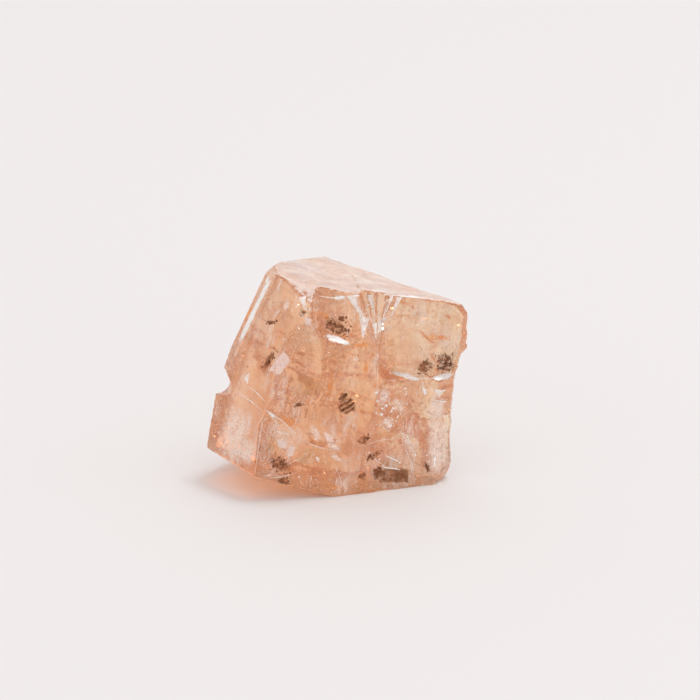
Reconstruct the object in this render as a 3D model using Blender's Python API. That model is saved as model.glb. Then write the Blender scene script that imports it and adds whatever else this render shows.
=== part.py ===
"""A rough imperial topaz crystal: one broken prism chunk, about 15 mm across, lying on its lowest face.

The chunk starts as a block, which is cleaved to its flat faces one after another. Curved breaks,
ledges and a notch are then struck out of it with squared ellipsoids. Lengths are in millimetres
until MM turns them into metres.
"""

import math

import bmesh
import bpy
from mathutils import Matrix, Vector

MM = 0.001
ROUGH_BLOCK = 30.0  # edge of the block that the chunk is cleaved from
HEART = (0.0, 4.0, 6.0)  # point inside the chunk that the face distances are measured from
CUTTER_SEGMENTS = 40  # points round a cutter's widest ring
CUTTER_RINGS = 24  # rings from pole to pole

# Flat faces: azimuth of the face's outward direction (degrees, 0 towards +X, 90 towards +Y),
# its elevation above the horizon (degrees), and its distance from HEART.
FACES = {
    "cleavage_top": (13.8, 77.6, 5.78),
    "front_top_slope": (-98.0, 71.0, 6.62),
    "left_prism": (-139.1, 20.6, 5.41),
    "left_foot": (-143.4, 6.1, 5.85),
    "front_left": (-81.4, -1.2, 3.96),
    "front_right": (-69.5, 0.0, 3.63),
    "right_end": (-30.0, -1.9, 6.68),
    "right_corner": (-26.6, -21.4, 7.62),
    "right_top_bevel": (-25.0, 38.0, 7.98),
    "back_right": (60.9, -2.4, 3.08),
    "back_left": (139.0, 17.0, 4.72),
    "back_left_foot": (150.4, 8.9, 5.39),
    "left_edge_bevel": (-162.1, 24.5, 5.85),
    "left_edge_outer_bevel": (178.0, 24.0, 6.00),
    "left_underside": (-162.0, -73.0, 6.09),
    "back_underside": (85.0, -45.0, 6.20),
    "foot": (0.0, -90.0, 6.0),
}

# Curved breaks: the deepest point, the way the break faces (azimuth, elevation and spin in
# degrees), half sizes across, inwards and up, and squareness, which is 1 for an ellipsoid and
# smaller for one with flatter sides.
BREAKS = {
    "upper_left_break": ((0.15, 1.45, 11.40), (-80, 12, 0), (1.60, 1.80, 2.60), 0.60),
    "upper_right_break": ((4.95, 2.80, 9.40), (-80, 4, 6), (2.75, 1.90, 3.35), 0.50),
    "crevice_recess": ((1.95, 1.40, 11.20), (-76, 14, 4), (1.00, 1.60, 2.95), 0.80),
    "crevice_left_groove": ((1.75, 1.90, 10.90), (-88, 14, -15), (0.26, 1.00, 2.70), 0.75),
    "crevice_middle_groove": ((2.05, 2.05, 10.90), (-76, 14, -3), (0.22, 1.00, 2.70), 0.75),
    "crevice_right_groove": ((2.40, 2.15, 10.80), (-66, 14, 9), (0.26, 1.00, 2.60), 0.75),
    "column_break": ((0.95, 0.66, 7.50), (-77, 4, -8), (4.00, 3.20, 3.60), 0.95),
    "central_break": ((-0.05, 0.85, 4.85), (-79, 6, -12), (4.50, 2.60, 2.85), 0.95),
    "bottom_break": ((0.10, 0.45, 1.85), (-82, -6, 10), (5.60, 2.60, 2.60), 0.95),
    "lower_right_break": ((2.85, 1.80, 1.95), (-66, -2, 0), (2.10, 1.70, 2.00), 0.75),
    "lower_left_break": ((-2.85, 0.08, 3.00), (-92, 4, 0), (1.95, 1.60, 2.45), 0.80),
    "middle_left_break": ((-1.95, 0.25, 7.50), (-94, 10, -16), (2.30, 2.20, 3.30), 0.85),
    "right_step_break": ((3.75, 1.98, 4.70), (-60, 6, 0), (2.40, 1.90, 3.20), 0.75),
    "right_strip_break": ((5.95, 2.80, 3.60), (-52, 0, 0), (1.50, 1.30, 3.50), 0.70),
    "right_hollow": ((6.60, 3.60, 2.70), (-12, 0, 0), (4.60, 1.80, 6.20), 0.95),
    "left_notch": ((-5.95, 3.50, 5.95), (-172, 0, 0), (2.20, 0.76, 0.76), 1.00),
    "cleavage_step": ((0.15, 2.30, 11.84), (14, 77, 8), (3.20, 0.60, 1.30), 0.30),
    "top_corner_chip": ((-5.05, 4.10, 12.45), (170, 52, 0), (1.60, 0.90, 0.90), 0.90),
    "back_scallop": ((0.60, 6.60, 6.20), (66, 4, 20), (5.00, 3.20, 4.60), 0.85),
    "back_low_scallop": ((4.30, 4.75, 2.90), (54, -6, -15), (3.60, 2.20, 3.00), 0.80),
    "back_left_scallop": ((-4.15, 5.50, 5.00), (146, 8, -20), (3.80, 2.80, 4.60), 0.80),
    "back_left_step": ((-2.30, 7.60, 9.20), (128, 20, 10), (1.60, 1.20, 2.80), 0.55),
}

STONE_COLOUR = (0.90, 0.50, 0.30, 1.0)
STONE_ROUGHNESS = 0.12
STONE_IOR = 1.62


def clear_scene():
    for old in list(bpy.data.objects):
        bpy.data.objects.remove(old)


def collection(name):
    group = bpy.data.collections.new(name)
    bpy.context.scene.collection.children.link(group)
    return group


def direction(azimuth, elevation):
    across, up = math.radians(azimuth), math.radians(elevation)
    return Vector((math.cos(across) * math.cos(up), math.sin(across) * math.cos(up), math.sin(up)))


def cleave(solid, outward, distance):
    """Takes away what lies past a plane, and closes the cut with one flat face."""
    cut = bmesh.ops.bisect_plane(
        solid,
        geom=solid.verts[:] + solid.edges[:] + solid.faces[:],
        dist=1e-8,
        plane_co=Vector(HEART) * MM + outward * distance * MM,
        plane_no=outward,
        clear_outer=True,
    )
    rim = [item for item in cut["geom_cut"] if isinstance(item, bmesh.types.BMEdge)]
    bmesh.ops.edgeloop_fill(solid, edges=rim)


def cleaved_block(name, group):
    """The chunk's flat-faced form, before any curved break."""
    solid = bmesh.new()
    bmesh.ops.create_cube(solid, size=ROUGH_BLOCK * MM, matrix=Matrix.Translation(Vector(HEART) * MM))
    for azimuth, elevation, distance in FACES.values():
        cleave(solid, direction(azimuth, elevation), distance)
    bmesh.ops.recalc_face_normals(solid, faces=solid.faces[:])
    mesh = bpy.data.meshes.new(name)
    solid.to_mesh(mesh)
    solid.free()
    stone = bpy.data.objects.new(name, mesh)
    group.objects.link(stone)
    return stone


def squared(value, squareness):
    """A sine or cosine bent towards a square wave, which gives an ellipsoid flatter sides."""
    return math.copysign(abs(value) ** squareness, value)


def break_cutter(name, group, deepest, facing, half_sizes, squareness):
    """A squared ellipsoid whose inner pole is at the deepest point, made from a sphere."""
    solid = bmesh.new()
    bmesh.ops.create_uvsphere(solid, u_segments=CUTTER_SEGMENTS, v_segments=CUTTER_RINGS, radius=1.0)
    for vert in solid.verts:
        height = max(-1.0, min(1.0, vert.co.z))
        wide = squared(math.sqrt(1.0 - height * height), squareness)
        around = math.atan2(vert.co.y, vert.co.x)
        shape = (
            wide * squared(math.cos(around), squareness),
            wide * squared(math.sin(around), squareness),
            squared(height, squareness),
        )
        vert.co = Vector([part * half * MM for part, half in zip(shape, half_sizes)])
    mesh = bpy.data.meshes.new(name)
    solid.to_mesh(mesh)
    solid.free()
    azimuth, elevation, spin = facing
    outward = direction(azimuth, elevation)
    across = Vector((0.0, 0.0, 1.0)).cross(outward).normalized()
    turn = Matrix((across, -outward, outward.cross(across))).transposed()
    cutter = bpy.data.objects.new(name, mesh)
    cutter.location = (Vector(deepest) + outward * half_sizes[1]) * MM
    cutter.rotation_euler = (turn @ Matrix.Rotation(math.radians(spin), 3, "Y")).to_euler()
    cutter.hide_render = True
    cutter.display_type = "WIRE"
    group.objects.link(cutter)
    return cutter


def strike(stone, cutter):
    blow = stone.modifiers.new(cutter.name, "BOOLEAN")
    blow.operation = "DIFFERENCE"
    blow.object = cutter


def topaz_material():
    material = bpy.data.materials.new("imperial_topaz")
    material.use_nodes = True
    shader = material.node_tree.nodes["Principled BSDF"]
    shader.inputs["Base Color"].default_value = STONE_COLOUR
    shader.inputs["Roughness"].default_value = STONE_ROUGHNESS
    shader.inputs["Metallic"].default_value = 0.0
    shader.inputs["IOR"].default_value = STONE_IOR
    shader.inputs["Transmission Weight"].default_value = 1.0
    return material


def stand_at_origin(stone, holder):
    """Moves the stone and its cutters so that the middle of its underside's box is the origin."""
    bpy.context.view_layer.update()
    evaluated = stone.evaluated_get(bpy.context.evaluated_depsgraph_get())
    corners = [evaluated.matrix_world @ Vector(corner) for corner in evaluated.bound_box]
    low = Vector([min(corner[axis] for corner in corners) for axis in range(3)])
    high = Vector([max(corner[axis] for corner in corners) for axis in range(3)])
    holder.location = -Vector(((low.x + high.x) / 2, (low.y + high.y) / 2, low.z))
    bpy.context.view_layer.update()


def main():
    clear_scene()
    finished, tools = collection("imperial_topaz"), collection("cutters")
    holder = bpy.data.objects.new("stone_frame", None)
    finished.objects.link(holder)
    stone = cleaved_block("topaz_crystal", finished)
    stone.parent = holder
    for name, (deepest, facing, half_sizes, squareness) in BREAKS.items():
        cutter = break_cutter(name, tools, deepest, facing, half_sizes, squareness)
        cutter.parent = holder
        strike(stone, cutter)
    stone.data.materials.append(topaz_material())
    stand_at_origin(stone, holder)


main()
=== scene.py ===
"""Looks of a rough imperial topaz crystal: one broken, clear, peach-orange chunk on a pale floor.

The stone's surface is a field that Geometry Nodes turn into a mesh: flat faces, curved breaks,
ripples, ledges and worn edges are each a term of one distance formula. Dark flecks, veils, stains
and cracks are meshes of their own, which lie a hair above the skin or just inside it; so are the
white films, facets and flecks of painted highlight, glint and sheen, a band of painted shade along
the left edge, and the painted glow in the foot. Lengths are in millimetres in the stone's own
frame, and become metres in the row's frame when a piece is done.
"""

import math
from collections import namedtuple

import bmesh
import bpy
from mathutils import Matrix, Vector
from mathutils.bvhtree import BVHTree


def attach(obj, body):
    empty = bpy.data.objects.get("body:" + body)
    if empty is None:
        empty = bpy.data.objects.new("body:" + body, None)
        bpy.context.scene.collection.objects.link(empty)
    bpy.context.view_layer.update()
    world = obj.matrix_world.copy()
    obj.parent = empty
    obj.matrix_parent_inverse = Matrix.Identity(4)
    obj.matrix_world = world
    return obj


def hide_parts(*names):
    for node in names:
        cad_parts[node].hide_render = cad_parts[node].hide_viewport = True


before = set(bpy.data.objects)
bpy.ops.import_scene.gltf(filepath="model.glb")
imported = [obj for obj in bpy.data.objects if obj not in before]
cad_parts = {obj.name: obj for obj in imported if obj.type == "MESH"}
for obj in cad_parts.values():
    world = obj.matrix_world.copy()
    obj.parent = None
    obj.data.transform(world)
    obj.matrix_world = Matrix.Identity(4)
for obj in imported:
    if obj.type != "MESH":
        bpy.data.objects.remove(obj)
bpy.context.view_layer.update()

bl_info = {
    "name": "Imperial Topaz Crystal",
    "version": (1, 0, 0),
    "blender": (4, 5, 0),
    "location": "3D View > Sidebar > Topaz",
    "description": "Builds a rough imperial topaz crystal with its inner flecks, veils and cracks",
    "category": "Add Mesh",
}

MM = 0.001


def direction(azimuth, elevation):
    """The unit vector that points that way."""
    across, up = math.radians(azimuth), math.radians(elevation)
    return Vector((math.cos(across) * math.cos(up), math.sin(across) * math.cos(up), math.sin(up)))


# The stone's own frame, in mm, and the block of cells that its field is read in.
HEART = Vector((0.0, 4.0, 6.0))  # point inside the stone that the face distances are measured from
STONE_SHIFT = Vector((-0.091, -4.344, 0.0))  # from the stone's own frame to the row's frame
FIELD_LOW = Vector((-7.9, -1.1, -0.5))
FIELD_HIGH = Vector((8.1, 9.8, 13.2))

# Relief of the faces and breaks, in mm.
LEDGES_PER_MM = 1.1  # cleavage ledges in broken faces, along the crystal
BREAK_ROUGHNESS = 0.10  # height of the roughness of broken faces
STREAK_DRAW = 0.93  # how far growth streaks are drawn out, where 1 is without end
TERRACES = 7.0  # levels of the cleaved top
TERRACE_STEP = 0.035  # height of each
TERRACE_LEVEL = 0.13  # how much the cleaved top is lowered, so that the terraces lie round its plane
BACK_DEPTHS = (5.2, 7.2)  # the back's wear sets in between these depths,
BACK_HEIGHTS = (10.8, 9.0)  # and from the top down between these heights
STRIKE_DEPTH = 0.7  # where a break was struck, as a share of its half size inwards
RIPPLE_SPACING = 0.25  # from one ripple to the next in the smallest break
RIPPLE_GROWTH = 0.08  # how much wider that is for each mm of a break's half size up

# Films, panes and cracks laid on the skin, in mm.
FILM_STEP = 0.09  # spacing of a film's places
FEWEST_STEPS = 6  # fewest faces across a film
FEWEST_CRACK_STEPS = 8  # fewest faces along a crack
PANE_STEPS = 10  # faces across a pane
POINT_WIDTH = 0.04  # share of its width that a three-cornered pane keeps at its point
LONGEST_SIDE = 0.45  # a face with a longer side would bridge a ledge, so it's left open
SIGHT_START = 20.0  # how far in front of the stone its skin is looked for
LIFT = 0.020  # height of panes, cracks, flashes and sheens above the skin
FILM_LIFT = 0.012  # the same for mineral and stain films, sparkle patches and hairlines
VEIL_LIFT = 0.010
SMOKE_LIFT = 0.006
APART = 0.0004  # how much further out each film of a table lies than the one before it
LIGHT_LET_THROUGH = 0.9  # share of the light that a thin film lets through

# Haze, veils and frost over the whole skin, in mm.
CLOUDS_PER_MM = 0.42
LEAST_VEIL = 0.04  # where a veil is thinner, it's left open
COVERED_FACING = (0.80, 0.88)  # how squarely skin faces a layer's direction where its frost sets in
WHOLE_COVER = 1.6  # cover of the clouds that leaves no skin bare
# How deep inside the foot its frost and painted glow lie.
FOOT_FROST_AND_GLOW_DEPTH = 0.05
HAZE_HEIGHT = 0.004
SKIN_VEIL_HEIGHT = 0.008

# Flakes, grains and hairlines, in mm.
PER_SQUARE_MM = 1.0e6  # turns a count on each square millimetre into one on each square metre
LEAST_DEPTH = 0.1  # how far inside the stone a sunk flake has to lie
FLAKE_BULGE = 0.5  # how much a flake with a radius of 1 is bent
HAIRLINE_SWAY = 0.35  # how far a hairline strays from straight
SWAYS_PER_METRE = 900.0

# The clear body, in metres in the row's frame.
WARM_MIDDLE = (0.0002, 0.0, 0.0048)  # where the stone's colour is deepest
BODY_MIDDLE = (0.0062, 0.0022)  # distances from there between which the middle tint sets in
BODY_SIDES = (-0.006, 0.006)  # between these the left tint goes over into the right one
BODY_DEPTHS = (-0.002, 0.003)  # between these the body goes from clear to frosty
BODY_ROUGHNESS = (0.11, 0.34)
GRAIN_HEIGHT = 0.06 * MM
GRAIN_STRENGTH = 0.30
NOISE_MIDDLE = (0.38, 0.62)  # most of a noise's values lie between these

# The stage, in metres, and the bounces that light needs in a clear stone.
FLOOR_REACH = 1.5  # from the floor's middle to its edge
LENS_CLIP = (0.01, 10.0)  # nearest and farthest that the camera sees
BOUNCES = {
    "max_bounces": 28, "glossy_bounces": 16, "transmission_bounces": 24, "transparent_max_bounces": 32,
}

# Flat faces: azimuth of the face's outward direction (degrees, 0 towards +X, 90 towards +Y),
# its elevation above the horizon (degrees), its distance from HEART, and its finish.
FACES = {
    "cleavage_top": (13.8, 77.6, 5.78, "cleaved"),
    "front_top_slope": (-98.0, 71.0, 6.62, "cleaved"),
    "left_prism": (-139.1, 20.6, 5.41, "grown"),
    "left_foot": (-143.4, 6.1, 5.85, "grown"),
    "front_left": (-81.4, -1.2, 3.96, "broken"),
    "front_right": (-69.5, 0.0, 3.63, "broken"),
    "right_end": (-30.0, -1.9, 6.68, "broken"),
    "right_corner": (-26.6, -21.4, 7.62, "broken"),
    "right_top_bevel": (-25.0, 38.0, 7.98, "plain"),
    "back_right": (60.9, -2.4, 3.08, "grown"),
    "back_left": (139.0, 17.0, 4.72, "grown"),
    "back_left_foot": (150.4, 8.9, 5.39, "grown"),
    "left_edge_bevel": (-162.1, 24.5, 5.93, "grown"),
    "left_edge_outer_bevel": (178.0, 24.0, 6.18, "grown"),
    "top_left_bevel": (159.5, 47.1, 7.02, "plain"),
    "left_underside": (-162.0, -73.0, 6.09, "plain"),
    "back_underside": (85.0, -45.0, 6.20, "broken"),
    "foot": (0.0, -90.0, 6.0, "plain"),
}

# Curved breaks: the deepest point, the way the break faces (azimuth, elevation and spin in
# degrees), half sizes across, inwards and up, squareness, and where on its rim it was struck
# (degrees, 0 to the right, 90 above) with the height of its ripples.
BREAKS = {
    "upper_left_break": ((0.15, 1.45, 11.40), (-80, 12, 0), (1.60, 1.80, 2.60), 0.60, (100, 0.03)),
    "upper_right_break": ((4.95, 2.80, 9.40), (-80, 4, 6), (2.75, 1.90, 3.35), 0.50, (160, 0.03)),
    "crevice_recess": ((1.95, 1.40, 11.20), (-76, 14, 4), (1.00, 1.60, 2.95), 0.80, (-90, 0.02)),
    "crevice_left_groove": ((1.75, 1.90, 10.90), (-88, 14, -15), (0.26, 1.00, 2.70), 0.75, (-90, 0.0)),
    "crevice_middle_groove": ((2.05, 2.05, 10.90), (-76, 14, -3), (0.22, 1.00, 2.70), 0.75, (-90, 0.0)),
    "crevice_right_groove": ((2.40, 2.15, 10.80), (-66, 14, 9), (0.26, 1.00, 2.60), 0.75, (-90, 0.0)),
    "column_break": ((0.95, 0.66, 7.50), (-77, 4, -8), (4.00, 3.20, 3.60), 0.95, (80, 0.03)),
    "central_break": ((-0.05, 0.85, 4.85), (-79, 6, -12), (4.50, 2.60, 2.85), 0.95, (-20, 0.04)),
    "bottom_break": ((0.10, 0.45, 1.85), (-82, -6, 10), (5.60, 2.60, 2.60), 0.95, (200, 0.03)),
    "lower_right_break": ((2.85, 1.80, 1.95), (-66, -2, 0), (2.10, 1.70, 2.00), 0.75, (100, 0.03)),
    "lower_left_break": ((-2.85, 0.08, 3.00), (-92, 4, 0), (1.95, 1.60, 2.45), 0.80, (100, 0.03)),
    "middle_left_break": ((-1.95, 0.25, 7.50), (-94, 10, -16), (2.30, 2.20, 3.30), 0.85, (60, 0.03)),
    "right_step_break": ((3.75, 1.98, 4.70), (-60, 6, 0), (2.40, 1.90, 3.20), 0.75, (90, 0.03)),
    "right_strip_break": ((5.95, 2.80, 3.60), (-52, 0, 0), (1.50, 1.30, 3.50), 0.70, (90, 0.02)),
    "right_hollow": ((6.60, 3.60, 2.70), (-12, 0, 0), (4.60, 1.80, 6.20), 0.95, (90, 0.02)),
    "left_notch": ((-5.95, 3.50, 5.95), (-172, 0, 0), (2.20, 0.76, 0.76), 1.00, (90, 0.0)),
    "cleavage_step": ((0.15, 2.30, 11.84), (14, 77, 8), (3.20, 0.60, 1.30), 0.30, (90, 0.0)),
    "top_corner_chip": ((-5.05, 4.10, 12.45), (170, 52, 0), (1.60, 0.90, 0.90), 0.90, (90, 0.02)),
    "back_scallop": ((0.60, 6.60, 6.20), (66, 4, 20), (5.00, 3.20, 4.60), 0.85, (30, 0.05)),
    "back_low_scallop": ((4.30, 4.75, 2.90), (54, -6, -15), (3.60, 2.20, 3.00), 0.80, (90, 0.03)),
    "back_left_scallop": ((-4.15, 5.50, 5.00), (146, 8, -20), (3.80, 2.80, 4.60), 0.80, (60, 0.04)),
    "back_left_step": ((-2.30, 7.60, 9.20), (128, 20, 10), (1.60, 1.20, 2.80), 0.55, (90, 0.03)),
}

CRYSTAL_AXIS = direction(*FACES["cleavage_top"][:2])  # grain and streaks run along it

# Small flat facets on the rims of breaks, tilted so that they flash under a light from above.
GLINTS = {
    "left_lip": ((0.20, 0.43, 9.20), (-76, 54, 20), (0.85, 0.40, 0.27), 0.35),
    "middle_lip": ((4.04, 2.38, 6.30), (-76, 54, 16), (0.90, 0.40, 0.27), 0.35),
    "right_lip": ((6.09, 2.64, 6.34), (-76, 54, -12), (0.65, 0.40, 0.27), 0.35),
}

# Places on the broken front are measured from its middle, as seen from a little above: across to
# the right and up. Sizes are across and up, and lean is in degrees, clockwise.
FRONT_MIDDLE = Vector((0.857, 4.0, 7.53))
FRONT_SIGHT = direction(-90.0, 18.0)
FRONT_UP = direction(90.0, 72.0)

# Films on the skin: place, size, lean, and squareness of the outline, where 2 is an ellipse.
MINERAL_FILMS = {
    "upper_left": ((-0.80, 1.28), (1.70, 0.85), 22, 2.2),
    "upper_left_high": ((-0.45, 1.75), (0.50, 0.40), 0, 2.0),
    "right_outer": ((5.40, -0.72), (1.10, 1.30), -10, 2.5),
    "right_inner": ((4.25, -0.95), (0.95, 0.90), -15, 2.2),
    "block_base": ((1.60, -7.05), (0.80, 0.80), 4, 3.0),
    "block_point": ((1.35, -6.00), (1.20, 0.40), -28, 2.0),
    "lower_left": ((-3.95, -6.55), (1.45, 0.95), 30, 2.2),
    "lower_left_edge": ((-3.75, -7.45), (0.85, 0.50), 10, 2.0),
    "left_streak": ((-4.55, -0.55), (0.42, 1.50), 28, 2.0),
    "ridge_speck": ((-2.68, 2.10), (0.42, 0.50), 0, 2.0),
    "left_speck": ((-4.45, 1.55), (0.80, 0.26), -10, 2.0),
    "middle_speck": ((-2.95, -3.10), (0.62, 0.28), -25, 2.0),
    "scoop_speck": ((0.75, -5.10), (0.85, 0.50), -25, 2.0),
    "foot_speck": ((0.70, -7.15), (0.50, 0.45), 0, 2.0),
    "strip_speck": ((4.40, -6.70), (0.32, 0.80), -30, 2.0),
    "stripes_head": ((-0.38, -2.66), (0.62, 0.46), -30, 2.0),
}
STRIPED_FILMS = {
    "middle_stripes": ((-0.20, -3.16), (1.16, 1.12), -30, 2.0),
}
SMOKE_FILMS = {
    "middle_left_smoke": ((-2.40, -2.10), (2.60, 2.10), 0, 2.0),
    "upper_right_smoke": ((3.95, 2.00), (1.20, 0.75), -15, 2.0),
    "lower_left_smoke": ((-4.30, -5.80), (1.60, 2.40), 0, 2.0),
    "foot_left_smoke": ((-2.40, -6.00), (2.00, 1.10), -20, 2.0),
    "block_smoke": ((2.20, -6.60), (2.40, 1.60), 0, 2.0),
    # A dark film that darkens the foot of the left block, towards its bottom.
    "left_block_foot_darkening": ((-6.45, -5.75), (3.00, 0.70), 28, 2.0),
}
STAIN_AND_SHADE_FILMS = {
    # Painted shade: a darker orange band along the left edge that stands in for the edge's refraction, not
    # a stain.
    "left_edge_painted_band": ((-5.72, 2.35), (0.36, 5.20), 26, 6.0),
    "column_stain": ((-1.10, -1.95), (0.50, 1.90), 10, 2.0),
    "column_second_stain": ((0.90, -1.10), (0.35, 1.30), 4, 2.0),
    "under_lip_stain": ((0.80, 0.28), (1.90, 0.36), 0, 2.0),
    "top_stain": ((2.85, 2.72), (0.65, 0.30), 0, 2.0),
    "right_stain": ((4.90, 0.70), (2.40, 0.45), 5, 2.0),
    "foot_stain": ((-1.00, -7.80), (1.60, 0.50), 0, 2.0),
    "foot_right_stain": ((1.80, -8.05), (3.00, 0.35), -4, 2.0),
    "upper_left_stain": ((-1.60, 1.95), (1.50, 0.70), 15, 2.0),
    "low_left_stain": ((-3.40, -4.10), (1.60, 0.80), 30, 2.0),
}
VEIL_FILMS = {
    "lower_left_window": ((-3.85, -5.30), (0.80, 0.85), -15, 3.0),
    "lower_left_second_window": ((-3.35, -5.70), (0.50, 0.80), 25, 2.5),
    "lower_middle_window": ((-1.95, -4.65), (0.60, 1.30), -35, 2.0),
    "lower_middle_second_window": ((-0.95, -5.45), (1.20, 0.50), 25, 2.0),
    "right_strip_veil": ((5.00, -5.30), (1.60, 4.80), 0, 3.0),
    "right_strip_low_veil": ((4.90, -6.10), (1.10, 2.60), 4, 2.5),
    "right_strip_high_veil": ((4.95, -3.30), (1.30, 1.90), 0, 2.5),
    "ridge_veil": ((-2.35, 1.60), (0.50, 0.75), 0, 2.0),
    "left_upper_veil": ((-3.60, 2.50), (0.40, 0.90), 25, 2.0),
    "column_right_veil": ((1.90, -2.65), (0.80, 1.60), 25, 1.6),
    "column_far_veil": ((2.75, -3.20), (0.80, 1.40), -25, 1.6),
    "column_low_veil": ((2.15, -4.20), (1.00, 1.10), 10, 1.6),
    "scoop_rim_veil": ((3.30, -5.25), (0.55, 2.10), -25, 2.0),
    "foot_veil": ((-0.80, -6.10), (1.30, 0.45), 30, 2.0),
    "left_block_veil": ((-6.60, -5.00), (1.90, 4.60), 12, 4.0),
    "left_block_corner_veil": ((-5.90, -5.75), (1.40, 1.90), 12, 4.0),
    "left_block_low_veil": ((-6.10, -5.85), (2.20, 1.10), 30, 3.0),
}
# Painted highlights: white films where the lips, the top rim, ledges and small spots catch the light.
PAINTED_HIGHLIGHT_FILMS = {
    "left_lip_flash": ((-0.66, 0.58), (1.85, 0.38), 20, 2.5),
    "middle_lip_flash": ((3.15, -1.47), (2.10, 0.38), 16, 2.0),
    "right_lip_flash": ((5.30, -1.52), (1.45, 0.42), -12, 3.0),
    "rim_flash": ((-0.60, 2.95), (0.90, 0.26), -8, 2.0),
    "rim_middle_flash": ((0.30, 3.05), (0.60, 0.16), -6, 2.0),
    "rim_right_flash": ((1.60, 3.35), (1.30, 0.17), 4, 2.0),
    "rim_far_flash": ((3.40, 3.03), (1.60, 0.15), 3, 2.0),
    "low_left_flash": ((-4.35, -3.70), (0.70, 0.16), 38, 2.0),
    "scoop_flash": ((2.45, -6.22), (1.10, 0.10), 26, 3.0),
    "scoop_low_flash": ((2.35, -6.75), (1.50, 0.09), 10, 3.0),
    "scoop_spot": ((2.85, -6.45), (0.16, 0.20), 0, 2.0),
    "strip_flash": ((4.25, -2.35), (0.26, 0.60), -20, 2.0),
    "strip_ledge_flash": ((5.30, -2.95), (0.55, 0.12), -6, 3.0),
    "strip_low_flash": ((4.85, -6.35), (0.13, 0.75), 6, 2.0),
    "foot_flash": ((-1.83, -6.15), (0.34, 0.10), 50, 2.0),
    "middle_spot": ((-1.95, -5.03), (0.22, 0.13), -10, 2.0),
    "column_spot": ((0.28, -0.55), (0.12, 0.22), 10, 2.0),
}
# Patches of the front that are strewn with sparkling flakes.
SPARKLE_PATCHES = {
    "ridge": ((-2.60, 1.70), (0.90, 2.40), 0, 2.0),
    "left_ridge": ((-3.40, 0.70), (1.20, 0.50), 20, 2.0),
    "notch": ((-5.90, -1.70), (0.80, 0.80), 0, 2.0),
    "column_right": ((2.30, -3.30), (1.90, 2.60), 8, 2.0),
    "right_ledge": ((5.00, -2.60), (1.30, 0.90), 0, 2.0),
    "strip_side": ((4.45, -6.60), (0.40, 1.90), 0, 2.0),
    "scoop_rim": ((3.35, -5.30), (0.50, 1.80), -25, 2.0),
    "low_left": ((-3.90, -4.70), (1.70, 0.60), 10, 2.0),
    "crevice": ((1.45, 1.90), (1.30, 2.20), 0, 2.0),
    "block": ((-6.00, -4.90), (0.50, 1.00), 0, 2.0),
    "scoop": ((2.20, -6.40), (1.50, 0.60), 15, 2.0),
}
# Painted sheens: white films along the left edges that stand in for their bright reflection, and show only
# on faces seen at a slant.
PAINTED_SHEEN_FILMS = {
    "left_edge": ((-5.38, 2.32), (0.34, 5.20), 26, 8.0),
    "left_second": ((-3.98, 3.70), (0.15, 0.80), 20, 3.0),
    "left_third": ((-4.15, 2.05), (0.12, 0.90), 38, 3.0),
    "left_high": ((-4.72, 4.00), (0.10, 0.60), 22, 3.0),
}
# Painted glints: small triangular white films that stand in for facets catching the light, by their three
# corners.
PAINTED_GLINT_SPLINTERS = {
    "fan_outer": ((-0.20, 3.05), (0.25, 3.10), (0.95, 1.40)),
    "fan_left": ((0.50, 1.95), (1.12, 1.80), (0.72, 0.62)),
    "fan_right": ((1.62, 1.72), (2.18, 1.95), (1.55, 0.80)),
    "fan_high": ((0.90, 3.10), (1.28, 3.12), (1.45, 1.90)),
    "fan_far": ((2.28, 3.10), (2.60, 3.35), (2.00, 2.00)),
    "fan_edge": ((2.75, 3.30), (3.05, 3.15), (2.20, 1.60)),
    "fan_inner": ((1.30, 1.50), (1.55, 1.55), (1.45, 0.55)),
    "notch_top": ((-6.05, -1.60), (-5.70, -1.30), (-5.80, -1.90)),
    "ridge": ((-2.90, 2.95), (-2.45, 3.05), (-2.55, 2.30)),
    "ledge_right": ((4.70, -2.20), (5.35, -2.30), (5.10, -2.70)),
}
# Pale panes with clean edges, by their four corners.
PANES = {
    "left_window": ((-4.80, -1.31), (-3.95, -1.49), (-3.66, 0.23), (-3.22, -0.57)),
    "low_left_window": ((-4.23, -4.97), (-3.49, -5.14), (-4.06, -5.54), (-3.54, -5.71)),
    "low_left_second_window": ((-3.49, -5.37), (-3.03, -5.43), (-3.60, -6.11), (-3.20, -6.06)),
    "ridge_window": ((-2.63, 1.89), (-2.11, 1.77), (-2.51, 1.37), (-2.17, 1.31)),
    "low_middle_window": ((-1.55, -4.55), (-1.15, -4.75), (-1.35, -5.25), (-0.75, -5.30)),
}
# Dark panes, in the same way.
DARK_PANES = {
    "block_base": ((1.50, -7.62), (3.48, -7.72), (1.55, -6.75), (3.48, -6.62)),
    "block_base_end": ((2.35, -7.62), (3.44, -7.70), (2.45, -6.82), (3.46, -6.66)),
}
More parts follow.
